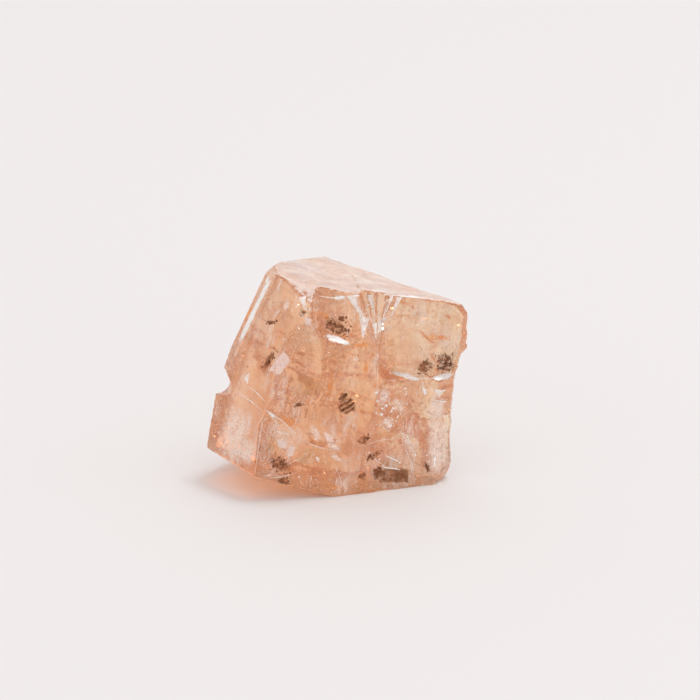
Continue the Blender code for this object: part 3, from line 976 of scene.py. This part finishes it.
def film_mesh(name, skin, films, lift):
    """One mesh for a table of films. Its UV map is in mm and its reach attribute is 1 at the rim."""
    solid = bmesh.new()
    for order, ((across, up), (width, height), lean, square) in enumerate(films.values()):
        cosine, sine = math.cos(math.radians(lean)), math.sin(math.radians(lean))
        columns, rows = (max(FEWEST_STEPS, round(side / FILM_STEP)) for side in (width, height))
        places, uvs, reaches = [], [], []
        for j in range(rows + 1):
            b = 2.0 * j / rows - 1.0
            place_row, uv_row, reach_row = [], [], []
            for i in range(columns + 1):
                a = 2.0 * i / columns - 1.0
                x, y = a * width / 2.0, b * height / 2.0
                place_row.append((across + x * cosine + y * sine, up - x * sine + y * cosine))
                uv_row.append((x + across, y + up))
                reach_row.append((abs(a) ** square + abs(b) ** square) ** (1.0 / square))
            places.append(place_row)
            uvs.append(uv_row)
            reaches.append(reach_row)
        laid_strip(solid, skin, places, lift + order * APART, uvs, reaches)
    return finished_sheet(name, solid)


def crack_mesh(name, skin, cracks, lift):
    """Narrow tapering strips, one for each crack of the table."""
    solid = bmesh.new()
    for start, end, bow, width in cracks.values():
        start, end = Vector(start), Vector(end)
        side = (end - start).normalized().orthogonal()
        steps = max(FEWEST_CRACK_STEPS, round((end - start).length / FILM_STEP))
        places, reaches = [], []
        for j in range(steps + 1):
            t = j / steps
            middle = start.lerp(end, t) + side * bow * math.sin(math.pi * t)
            half = width / 2.0 * (0.35 + 0.65 * math.sin(math.pi * min(1.0, 1.15 * t)))
            places.append([tuple(middle + side * half * part) for part in (-1.0, 0.0, 1.0)])
            reaches.append([1.0, 0.0, 1.0])
        laid_strip(solid, skin, places, lift, places, reaches)
    return finished_sheet(name, solid)


def pane_mesh(name, skin, panes, lift):
    """One flat-edged patch for each entry of the table. With three corners, its end is a point."""
    solid = bmesh.new()
    shares = [i / PANE_STEPS for i in range(PANE_STEPS + 1)]
    for corners in panes.values():
        near_left, near_right, far_left = (Vector(corner) for corner in corners[:3])
        far_right = Vector(corners[3]) if len(corners) == 4 else far_left.lerp(near_right, POINT_WIDTH)
        places, reaches = [], []
        for up in shares:
            start, end = near_left.lerp(far_left, up), near_right.lerp(far_right, up)
            places.append([tuple(start.lerp(end, across)) for across in shares])
            reaches.append([max(abs(2.0 * across - 1.0), abs(2.0 * up - 1.0)) for across in shares])
        laid_strip(solid, skin, places, lift, places, reaches)
    return finished_sheet(name, solid)


def mesh_from(name, solid):
    """A mesh of that name from an edited one, which is freed."""
    mesh = bpy.data.meshes.new(name)
    solid.to_mesh(mesh)
    solid.free()
    return mesh


def finished_sheet(name, solid):
    """A mesh in the row's frame whose faces look outwards."""
    bmesh.ops.delete(solid, geom=[vert for vert in solid.verts if not vert.link_faces], context="VERTS")
    for face in solid.faces:
        face.normal_update()
        if face.normal.dot(FRONT_SIGHT) < 0.0:
            face.normal_flip()
    mesh = mesh_from(name, solid)
    if not mesh.polygons:
        raise RuntimeError(name + " found no skin to lie on")
    to_row_frame(mesh)
    return mesh


def veil_tree():
    """Geometry Nodes tree: patches of the stone's skin, sunk by Depth, where a cloudy field is high
    or the skin faces along Facing."""
    net, given = started_tree("Skin veils", "GeometryNodeTree", {
        "Stone": "Object", "Depth": 0.1, "Cover": 0.5, "Cloud Scale": 0.5, "Facing": "Vector",
        "Finish": "Material",
    }, ("Veils", "Geometry"))
    place = net.vector("SCALE", net.place(), 1.0 / MM)
    normal = net.normal()
    facing = net.ramp(net.vector("DOT_PRODUCT", normal, given["Facing"]), *COVERED_FACING)
    clouds = net.noise(net.vector("SCALE", place, given["Cloud Scale"]), 1.0, 3.0, 0.55)
    low = net.minus(0.75, net.times(given["Cover"], 0.5))
    cloud = net.ramp(clouds, low, net.plus(low, 0.15))
    skin = net.surface_of(given["Stone"])
    for name, value in (("veil", cloud), ("cleaved", facing)):
        values = {"Name": name, "Geometry": skin, "Value": value}
        skin = net.named("GeometryNodeStoreNamedAttribute", values).outputs[0]
    shown = net.math("MAXIMUM", facing, cloud)
    clear = net.node("FunctionNodeCompare", shown, LEAST_VEIL, operation="LESS_THAN").outputs[0]
    offset = net.vector("SCALE", normal, net.times(given["Depth"], -MM))
    return painted_tree(net, "Veils", net.moved(net.without(skin, clear), offset), given["Finish"])


def flake_shape(net):
    """A slightly bent flake with four sides, 1 mm in radius."""
    flat = net.named("GeometryNodeMeshCircle", {"Vertices": 4, "Radius": MM}, fill_type="TRIANGLE_FAN")
    spread = net.vector("SCALE", net.place(), SWAYS_PER_METRE)
    bulge = net.centred(net.noise(spread, 1.0), FLAKE_BULGE * MM)
    return net.moved(flat.outputs[0], net.joined(0.0, 0.0, bulge))


def nearest_skin(net, skin):
    """The nearest place on that skin to each point, and the skin's outward direction there."""
    nearest = net.node("GeometryNodeProximity", skin).outputs["Position"]
    values = {"Mesh": skin, "Value": net.normal()}
    outward = net.named("GeometryNodeSampleNearestSurface", values, data_type="FLOAT_VECTOR").outputs[0]
    return nearest, outward


def without_strays(net, points, skin):
    """The points that lie well inside that skin. Near a corner, sinking may take one out again."""
    nearest, outward = nearest_skin(net, skin)
    height = net.vector("DOT_PRODUCT", net.vector("SUBTRACT", net.place(), nearest), outward)
    stray = net.node("FunctionNodeCompare", height, -LEAST_DEPTH * MM, operation="GREATER_THAN")
    return net.without(points, stray.outputs[0])


def strewn_points(net, ground, given):
    """Points strewn over a surface, and its outward direction at each."""
    values = {"Mesh": ground, "Density": given["Density"], "Seed": given["Seed"]}
    strewn = net.named("GeometryNodeDistributePointsOnFaces", values).outputs
    return strewn["Points"], strewn["Normal"]


def scatter_tree(name, grain, sunk):
    """Geometry Nodes tree: flakes or grains strewn under the faces of a piece, turned at random."""
    net, given = started_tree(name, "GeometryNodeTree", {
        "Ground": "Object", "Density": 1.0e6, "Smallest": 0.05, "Largest": 0.2, "Shallowest": 0.1,
        "Deepest": 1.0, "Seed": "Int", "Finish": "Material",
    }, ("Pieces", "Geometry"))
    seed = given["Seed"]
    ground = net.surface_of(given["Ground"])
    points, outward = strewn_points(net, ground, given)
    depth = net.skewed(given["Shallowest"], given["Deepest"], 2.2, seed, 3.0)
    points = net.moved(points, net.vector("SCALE", outward, net.times(depth, -MM)))
    if sunk:
        points = without_strays(net, points, ground)
    shape = net.node("GeometryNodeMeshIcoSphere", MM, 1).outputs[0] if grain else flake_shape(net)
    size = net.skewed(given["Smallest"], given["Largest"], 2.5, seed, 7.0)
    thin = net.times(size, net.chance(0.35, 1.0, seed, 11.0))
    turns = [net.chance(0.0, math.tau, seed, salt) for salt in (13.0, 17.0, 19.0)]
    placed = net.copies(points, shape, net.joined(*turns), net.joined(size, thin, size))
    return painted_tree(net, "Pieces", placed, given["Finish"])


def stroke_tree():
    """Geometry Nodes tree: short hairlines that follow the stone's skin, mostly along one direction."""
    net, given = started_tree("Skin hairlines", "GeometryNodeTree", {
        "Stone": "Object", "Density": 1.0e6, "Shortest": 0.2, "Longest": 1.0, "Width": 0.03,
        "Stray": 0.5, "Lift": 0.01, "Along": "Vector", "Seed": "Int", "Finish": "Material",
    }, ("Hairlines", "Geometry"))
    seed = given["Seed"]
    skin = net.surface_of(given["Stone"])
    points, normal = strewn_points(net, skin, given)
    strays = [net.chance(-1.0, 1.0, seed, salt) for salt in (3.0, 5.0, 7.0)]
    along = net.vector("ADD", given["Along"], net.vector("SCALE", net.joined(*strays), given["Stray"]))
    upright = net.named("FunctionNodeAlignRotationToVector", {"Vector": normal}, axis="Z").outputs[0]
    values = {"Rotation": upright, "Vector": along}
    turned = net.named("FunctionNodeAlignRotationToVector", values, axis="X", pivot_axis="Z").outputs[0]
    length = net.skewed(given["Shortest"], given["Longest"], 2.0, seed, 11.0)
    width = net.times(given["Width"], net.chance(0.4, 1.0, seed, 13.0))
    ribbon = net.node("GeometryNodeMeshGrid", MM, MM, 16, 2).outputs[0]
    placed = net.copies(points, ribbon, turned, net.joined(length, width, 1.0))
    real = net.node("GeometryNodeRealizeInstances", placed).outputs[0]
    sway = net.vector("SCALE", net.stray(net.place(), SWAYS_PER_METRE, 1.0), HAIRLINE_SWAY * MM)
    bent = net.moved(real, sway)
    nearest, outward = nearest_skin(net, skin)
    raised = net.vector("ADD", nearest, net.vector("SCALE", outward, net.times(given["Lift"], MM)))
    laid = net.named("GeometryNodeSetPosition", {"Geometry": bent, "Position": raised}).outputs[0]
    return painted_tree(net, "Hairlines", laid, given["Finish"])


def inner_piece(name, mesh):
    """Links a finished mesh as a piece that rides with the stone."""
    piece = link_piece(name, mesh)
    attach(piece, "root")


# ---------------------------------------------------------------- materials


def value_group(name, inputs, output, build):
    """A shader group with those inputs and one number out. It's built once and then reused."""
    tree = bpy.data.node_groups.get(name)
    if tree:
        return tree
    net, given = started_tree(name, "ShaderNodeTree", inputs, (output, "Float"))
    return ended_tree(net, output, build(net, given))


def ragged_rim_group():
    """Shader group: a mask that fades raggedly towards a film's rim."""

    def build(net, given):
        stray = net.centred(net.noise(given["Place"], RIM_RAGS, 3.0, 0.6), given["Raggedness"])
        left = net.minus(net.minus(0.85, given["Reach"]), stray)
        return net.ramp(left, 0.0, given["Softness"])

    inputs = {"Place": "Vector", "Reach": 0.0, "Raggedness": 0.8, "Softness": 0.3}
    return value_group("Ragged rim", inputs, "Mask", build)


def mottle_group():
    """Shader group: a mask of small crowded blots, as mineral grains leave in a film."""

    def build(net, given):
        scaled = net.vector("SCALE", given["Place"], given["Scale"])
        coarse = net.times(net.noise(scaled, 1.0, 4.0, 0.7), 0.7)
        fine = net.times(net.noise(scaled, 3.1, 2.0, 0.6), 0.3)
        low = net.minus(0.68, net.times(given["Cover"], 0.36))
        return net.ramp(net.plus(coarse, fine), low, net.plus(low, 0.07))

    return value_group("Mottle", {"Place": "Vector", "Scale": 3000.0, "Cover": 0.5}, "Mask", build)


def drawn_grain_group():
    """Shader group: uneven grain, drawn out along the crystal's length."""

    def build(net, given):
        along = net.vector("DOT_PRODUCT", given["Place"], CRYSTAL_AXIS)
        squeezed = net.vector("SCALE", CRYSTAL_AXIS, net.times(along, given["Drawn"]))
        return net.noise(net.vector("SUBTRACT", given["Place"], squeezed), given["Scale"], 5.0, 0.65)

    return value_group("Drawn grain", {"Place": "Vector", "Scale": 1000.0, "Drawn": 0.6}, "Grain", build)


def placed_group(net, group, **values):
    """A group node with those inputs, given by their names in small letters."""
    inputs = {name.title(): value for name, value in values.items()}
    return net.named("ShaderNodeGroup", inputs, node_tree=group).outputs[0]


def light_passes(net):
    """Near 0 for shadow rays, so that a thin film lets most of the light through."""
    shadow = net.node("ShaderNodeLightPath").outputs["Is Shadow Ray"]
    return net.minus(1.0, net.times(shadow, LIGHT_LET_THROUGH))


def new_material(name, plain):
    """A material with its node helper and its shader, which has those plain values."""
    material = bpy.data.materials.new(name)
    material.use_nodes = True
    shader = material.node_tree.nodes["Principled BSDF"]
    for label, value in plain.items():
        shader.inputs[label].default_value = value
    return material, Net(material.node_tree), shader


def sheet_material(name, settings):
    """The finish of a film or flake: two colours that mingle, and a ragged, mottled transparency."""
    sheet = SHEETS[name]
    material, net, shader = new_material(name, {
        "Roughness": sheet.roughness, "Metallic": sheet.metallic, "Specular IOR Level": sheet.shine,
    })
    place = net.object_place()
    mingle = net.ramp(net.noise(place, SHEET_MINGLE, 4.0, 0.7), *NOISE_MIDDLE)
    first, second = (opaque(getattr(settings, colour)) for colour in sheet.colours)
    net.feed(shader.inputs["Base Color"], net.mix(mingle, first, second))
    mask = sheet.strength
    if sheet.rim is not None:
        raggedness, softness = sheet.rim
        mask = net.times(mask, placed_group(
            net, ragged_rim_group(), place=place, reach=net.attribute("reach"),
            raggedness=raggedness, softness=softness,
        ))
    if sheet.mottle is not None:
        scale, cover, least = sheet.mottle
        blots = placed_group(net, mottle_group(), place=place, scale=scale, cover=cover)
        mask = net.times(mask, net.plus(least, net.times(blots, 1.0 - least)))
    if sheet.stripes > 0.0:
        bands = net.named("ShaderNodeTexWave", {
            "Vector": net.node("ShaderNodeUVMap").outputs[0], "Scale": sheet.stripes,
            "Distortion": 3.2, "Detail": 2.0, "Detail Scale": 1.2,
        }, bands_direction="Y")
        mask = net.times(mask, net.ramp(bands.outputs["Fac"], 0.35, 0.7, 0.42, 1.0))
    if sheet.slanted:
        facing = net.node("ShaderNodeLayerWeight", 0.5).outputs["Facing"]
        mask = net.times(mask, net.ramp(facing, 0.2, 0.5))
    if not sheet.dense:
        mask = net.times(mask, light_passes(net))
    net.feed(shader.inputs["Alpha"], mask)
    return material


def veil_material(settings):
    """Pale film on the skin: a mottled frost on the cleaved top, which also paints its pale reflection, and
    streaky strands elsewhere.
    """
    material, net, shader = new_material("skin_veil", {"Roughness": 0.4})
    place, cleaved = net.object_place(), net.attribute("cleaved")
    mingle = net.noise(place, VEIL_MINGLE, 3.0, 0.6)
    streaky = net.mix(mingle, opaque(settings.veil_pale), opaque(settings.veil_peach))
    # The cleaved top's frost, whose pale colour is also painted reflection of the bright surroundings.
    drift = net.ramp(net.noise(place, FROST_DRIFT, 3.0, 0.6), *NOISE_MIDDLE)
    frost_and_reflection_colour = net.mix(drift, opaque(settings.top_frost_and_reflection_pale), opaque(settings.top_frost_and_reflection_warm))
    net.feed(shader.inputs["Base Color"], net.mix(cleaved, streaky, frost_and_reflection_colour))
    streaks = placed_group(net, drawn_grain_group(), place=place, scale=VEIL_STRANDS, drawn=0.85)
    strands = net.times(net.attribute("veil"), net.ramp(streaks, 0.45, 0.68, 0.05, 0.70))
    uneven = net.noise(net.vector("MULTIPLY", place, (0.75, 1.25, 1.0)), FROST_GRAIN, 5.0, 0.65)
    frost = net.times(cleaved, net.ramp(uneven, 0.35, 0.70, 0.55, 0.88))
    alpha = net.math("MAXIMUM", strands, frost)
    net.feed(shader.inputs["Alpha"], net.times(alpha, light_passes(net)))
    return material


def haze_material(settings):
    """Thin uneven haze on the skin: orange, peach and pink clouds, drawn out along the crystal."""
    material, net, shader = new_material("skin_haze", {"Roughness": 0.6, "Specular IOR Level": 0.2})
    place = net.object_place()
    grain = placed_group(net, drawn_grain_group(), place=place, scale=HAZE_COLOURS, drawn=0.55)
    pink = net.ramp(net.noise(place, HAZE_PINKS), 0.45, 0.60)
    light = net.mix(pink, opaque(settings.haze_peach), opaque(settings.haze_pink))
    warm = net.ramp(grain, 0.38, 0.60)
    net.feed(shader.inputs["Base Color"], net.mix(warm, opaque(settings.haze_orange), light))
    clouds = placed_group(net, drawn_grain_group(), place=place, scale=HAZE_CLOUDS, drawn=0.55)
    thick = net.ramp(clouds, 0.40, 0.66, 0.0, settings.haze_strength)
    alpha = net.times(thick, net.minus(1.0, net.attribute("cleaved")))
    net.feed(shader.inputs["Alpha"], net.times(alpha, light_passes(net)))
    return material


def topaz_material(settings):
    """Clear crystal: pinker to the left, yellower to the right, deeper in the middle, frosty behind.

    Shadow rays pass it tinted, and more deeply so where they pass at a slant.
    """
    material, net, shader = new_material("topaz", {"IOR": settings.ior, "Transmission Weight": 1.0})
    place = net.object_place()
    across, depth = net.parts(place)[:2]
    side = net.ramp(across, *BODY_SIDES)
    side = net.plus(side, net.centred(net.noise(place, BODY_TINTS, 3.0, 0.55), 0.9))
    outer = net.mix(side, opaque(settings.left_tint), opaque(settings.right_tint))
    off_heart = net.vector("MULTIPLY", net.vector("SUBTRACT", place, WARM_MIDDLE), (1.0, 0.25, 0.85))
    core = net.ramp(net.vector("LENGTH", off_heart), *BODY_MIDDLE)
    core = net.plus(core, net.centred(net.noise(place, BODY_WARMTH), 0.7))
    tint = net.mix(core, outer, opaque(settings.middle_tint))
    blotch = net.ramp(net.noise(place, BODY_BLOTCHES, 5.0, 0.65), 0.48, 0.68, 0.0, 0.75)
    net.feed(shader.inputs["Base Color"], net.mix(blotch, tint, opaque(settings.blotch_tint)))
    net.feed(shader.inputs["Roughness"], net.ramp(depth, *BODY_DEPTHS, *BODY_ROUGHNESS))
    grain = placed_group(net, drawn_grain_group(), place=place, scale=BODY_GRAIN, drawn=0.6)
    values = {"Strength": GRAIN_STRENGTH, "Distance": GRAIN_HEIGHT, "Height": grain}
    bump = net.named("ShaderNodeBump", values)
    net.feed(shader.inputs["Normal"], bump.outputs[0])
    slant = net.node("ShaderNodeLayerWeight", 0.5).outputs["Facing"]
    tinted = net.mix(slant, opaque(settings.shadow_tint), opaque(settings.slant_tint))
    passed = net.node("ShaderNodeBsdfTransparent", tinted).outputs[0]
    shadow = net.node("ShaderNodeLightPath").outputs["Is Shadow Ray"]
    surface = net.node("ShaderNodeMixShader", shadow, shader.outputs[0], passed).outputs[0]
    body = net.node("ShaderNodeVolumeAbsorption", opaque(settings.depth_colour), settings.absorption)
    output = material.node_tree.nodes["Material Output"]
    net.feed(output.inputs["Surface"], surface)
    net.feed(output.inputs["Volume"], body.outputs[0])
    return material


def floor_material(settings):
    """Plain matt floor."""
    plain = {"Base Color": opaque(settings.floor_colour), "Roughness": 0.7}
    return new_material("pale_floor", plain)[0]


# ---------------------------------------------------------------- operators


def lay_sheets(sheets, make_mesh, settings):
    """Lays one piece on the stone's skin for each entry of a table of sheets."""
    skin = stone_skin()
    for name, (entries, lift, sheet, slot) in sheets.items():
        mesh = make_mesh(name, skin, entries, lift)
        mesh.materials.append(sheet_material(sheet, settings))
        inner_piece(name, mesh)


class TOPAZ_OT_stone(bpy.types.Operator):
    """Build the crystal's outer form and its clear peach material"""

    bl_idname = "topaz.stone"
    bl_label = "Build Stone"
    bl_options = {"REGISTER", "UNDO"}

    def execute(self, context):
        settings = context.scene.topaz_stone
        values = {
            "Cell": settings.cell, "Edge Wear": settings.edge_wear, "Rim Wear": settings.rim_wear,
            "Back Wear": settings.back_wear, "Wobble": settings.wobble, "Ledge": settings.ledge,
            "Streak": settings.streak, "Finish": topaz_material(settings),
        }
        mesh = grown_mesh("topaz_stone", stone_tree(), values)
        solid = bmesh.new()
        solid.from_mesh(mesh)
        keep_largest_island(solid)
        if not solid.faces:
            raise RuntimeError("the field gave no surface")
        if solid.calc_volume(signed=True) < 0:
            bmesh.ops.reverse_faces(solid, faces=solid.faces[:])
        solid.to_mesh(mesh)
        solid.free()
        to_row_frame(mesh)
        stone = link_piece("topaz_stone", mesh)
        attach(stone, "root")
        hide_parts("topaz_crystal")
        return {"FINISHED"}


class TOPAZ_OT_films(bpy.types.Operator):
    """Lay the mottled, striped, smoky, stained and pale films on the broken front, with a band of painted
    shade on the left edge and the white films of painted highlight and sheen
    """

    bl_idname = "topaz.films"
    bl_label = "Lay Films"
    bl_options = {"REGISTER", "UNDO"}

    def execute(self, context):
        lay_sheets(FILM_SHEETS, film_mesh, context.scene.topaz_marks)
        return {"FINISHED"}


class TOPAZ_OT_panes(bpy.types.Operator):
    """Set the clean-edged panes and the white triangles of painted glint, and draw the bright cracks and
    the painted highlights along the top rim
    """

    bl_idname = "topaz.panes"
    bl_label = "Set Panes and Cracks"
    bl_options = {"REGISTER", "UNDO"}

    def execute(self, context):
        lay_sheets(PANE_SHEETS, pane_mesh, context.scene.topaz_marks)
        lay_sheets(CRACK_SHEETS, crack_mesh, context.scene.topaz_marks)
        return {"FINISHED"}


class TOPAZ_OT_hairlines(bpy.types.Operator):
    """Draw short pale and dark hairlines all over the skin"""

    bl_idname = "topaz.hairlines"
    bl_label = "Draw Hairlines"
    bl_options = {"REGISTER", "UNDO"}

    def execute(self, context):
        settings = context.scene.topaz_marks
        tree = stroke_tree()
        for name, line in HAIRLINES.items():
            inner_piece(name, grown_mesh(name, tree, {
                "Stone": bpy.data.objects["topaz_stone"],
                "Density": line.density * settings.hairline_share * PER_SQUARE_MM,
                "Shortest": line.lengths[0], "Longest": line.lengths[1], "Width": line.width,
                "Stray": line.stray, "Lift": FILM_LIFT, "Along": CRYSTAL_AXIS, "Seed": line.seed,
                "Finish": sheet_material(line.sheet, settings),
            }))
        return {"FINISHED"}


class TOPAZ_OT_veils(bpy.types.Operator):
    """Lay the cleaved top's frost with its painted reflection, the streaky veils, the haze, and the foot's
    frost with its painted glow
    """

    bl_idname = "topaz.veils"
    bl_label = "Lay Veils"
    bl_options = {"REGISTER", "UNDO"}

    def execute(self, context):
        settings = context.scene.topaz_marks
        tree = veil_tree()
        downwards = direction(*FACES["foot"][:2])
        for name, depth, cover, facing, finish in (
            # The foot's frost, with painted glow.
            ("foot_frost", FOOT_FROST_AND_GLOW_DEPTH, 0.0, downwards, sheet_material("foot_frost", settings)),
            ("skin_haze", -HAZE_HEIGHT, WHOLE_COVER, CRYSTAL_AXIS, haze_material(settings)),
            ("skin_veils", -SKIN_VEIL_HEIGHT, settings.veil_cover, CRYSTAL_AXIS, veil_material(settings)),
        ):
            inner_piece(name, grown_mesh(name, tree, {
                "Stone": bpy.data.objects["topaz_stone"], "Depth": depth, "Cover": cover,
                "Cloud Scale": CLOUDS_PER_MM, "Facing": facing, "Finish": finish,
            }))
        return {"FINISHED"}


class TOPAZ_OT_flakes(bpy.types.Operator):
    """Strew bright flakes, surface chips, metal sparkles, white flecks of painted sparkle on the painted
    highlights, and dark mineral grains
    """

    bl_idname = "topaz.flakes"
    bl_label = "Strew Flakes and Grains"
    bl_options = {"REGISTER", "UNDO"}

    def execute(self, context):
        settings = context.scene.topaz_marks
        mesh = film_mesh("sparkle_patches", stone_skin(), SPARKLE_PATCHES, FILM_LIFT)
        patches = link_piece("sparkle_patches", mesh)
        for name, strewn in STREWN.items():
            inner_piece(name, grown_mesh(name, scatter_tree(name, strewn.grain, strewn.sunk), {
                "Ground": bpy.data.objects[strewn.ground],
                "Density": strewn.density * settings.flake_share * PER_SQUARE_MM,
                "Smallest": strewn.sizes[0], "Largest": strewn.sizes[1],
                "Shallowest": strewn.depths[0], "Deepest": strewn.depths[1],
                "Seed": strewn.seed, "Finish": sheet_material(strewn.sheet, settings),
            }))
        bpy.data.objects.remove(patches)
        return {"FINISHED"}


class TOPAZ_OT_stage(bpy.types.Operator):
    """Build the pale floor, the soft lights and the camera"""

    bl_idname = "topaz.stage"
    bl_label = "Build Stage"
    bl_options = {"REGISTER", "UNDO"}

    def execute(self, context):
        settings = context.scene.topaz_stage
        self.lay_floor(settings)
        self.light(context.scene, settings)
        self.place_camera(context.scene, settings)
        return {"FINISHED"}

    def lay_floor(self, settings):
        """A flat sheet, wide enough to fill the camera's view."""
        solid = bmesh.new()
        bmesh.ops.create_grid(solid, x_segments=2, y_segments=2, size=FLOOR_REACH)
        mesh = mesh_from("floor", solid)
        mesh.materials.append(floor_material(settings))
        link_piece("floor", mesh)

    def light(self, scene, settings):
        """Soft pale surroundings and one softbox overhead."""
        world = bpy.data.worlds.new("studio")
        world.use_nodes = True
        background = world.node_tree.nodes["Background"]
        background.inputs["Color"].default_value = opaque(settings.fill_colour)
        background.inputs["Strength"].default_value = settings.fill
        scene.world = world
        light = bpy.data.lights.new("softbox", "AREA")
        light.size = settings.softbox_size
        light.energy = settings.key_power * math.pi * light.size * light.size
        softbox = link_piece("softbox", light)
        softbox.location = settings.softbox_place
        softbox.rotation_euler = softbox.location.to_track_quat("Z", "Y").to_euler()

    def place_camera(self, scene, settings):
        """The camera looks at the front from a little above. Clear stone needs many bounces."""
        lens = bpy.data.cameras.new("camera")
        lens.lens = settings.lens
        lens.clip_start, lens.clip_end = LENS_CLIP
        camera = link_piece("camera", lens)
        back = direction(-90.0, math.degrees(settings.elevation))
        camera.location = (FRONT_MIDDLE + STONE_SHIFT) * MM + back * settings.distance
        camera.rotation_euler = back.to_track_quat("Z", "Y").to_euler()
        scene.camera = camera
        scene.view_settings.view_transform = "Standard"
        for name, count in BOUNCES.items():
            setattr(scene.cycles, name, count)


class TOPAZ_PT_panel(bpy.types.Panel):
    """Buttons that build the crystal, and its settings"""

    bl_idname = "TOPAZ_PT_panel"
    bl_label = "Imperial Topaz"
    bl_space_type = "VIEW_3D"
    bl_region_type = "UI"
    bl_category = "Topaz"

    def draw(self, context):
        for operator in OPERATORS:
            self.layout.operator(operator.bl_idname)
        for holder, settings in SETTINGS.items():
            box = self.layout.box()
            for name in settings.__annotations__:
                box.prop(getattr(context.scene, holder), name)


OPERATORS = (
    TOPAZ_OT_stone, TOPAZ_OT_films, TOPAZ_OT_panes, TOPAZ_OT_hairlines, TOPAZ_OT_veils,
    TOPAZ_OT_flakes, TOPAZ_OT_stage,
)
SETTINGS = {
    "topaz_stone": TopazStoneSettings,
    "topaz_marks": TopazMarksSettings,
    "topaz_stage": TopazStageSettings,
}
CLASSES = (*SETTINGS.values(), *OPERATORS, TOPAZ_PT_panel)


def register():
    """Registers the classes and hangs their settings on the scene."""
    for cls in CLASSES:
        bpy.utils.register_class(cls)
    for name, settings in SETTINGS.items():
        setattr(bpy.types.Scene, name, bpy.props.PointerProperty(type=settings))


def unregister():
    """Takes away what register added."""
    for name in SETTINGS:
        delattr(bpy.types.Scene, name)
    for cls in reversed(CLASSES):
        bpy.utils.unregister_class(cls)


def main():
    """Builds the crystal and its stage."""
    register()
    bpy.ops.topaz.stone()
    bpy.ops.topaz.films()
    bpy.ops.topaz.panes()
    bpy.ops.topaz.hairlines()
    bpy.ops.topaz.veils()
    bpy.ops.topaz.flakes()
    bpy.ops.topaz.stage()


if __name__ == "__main__":
    main()
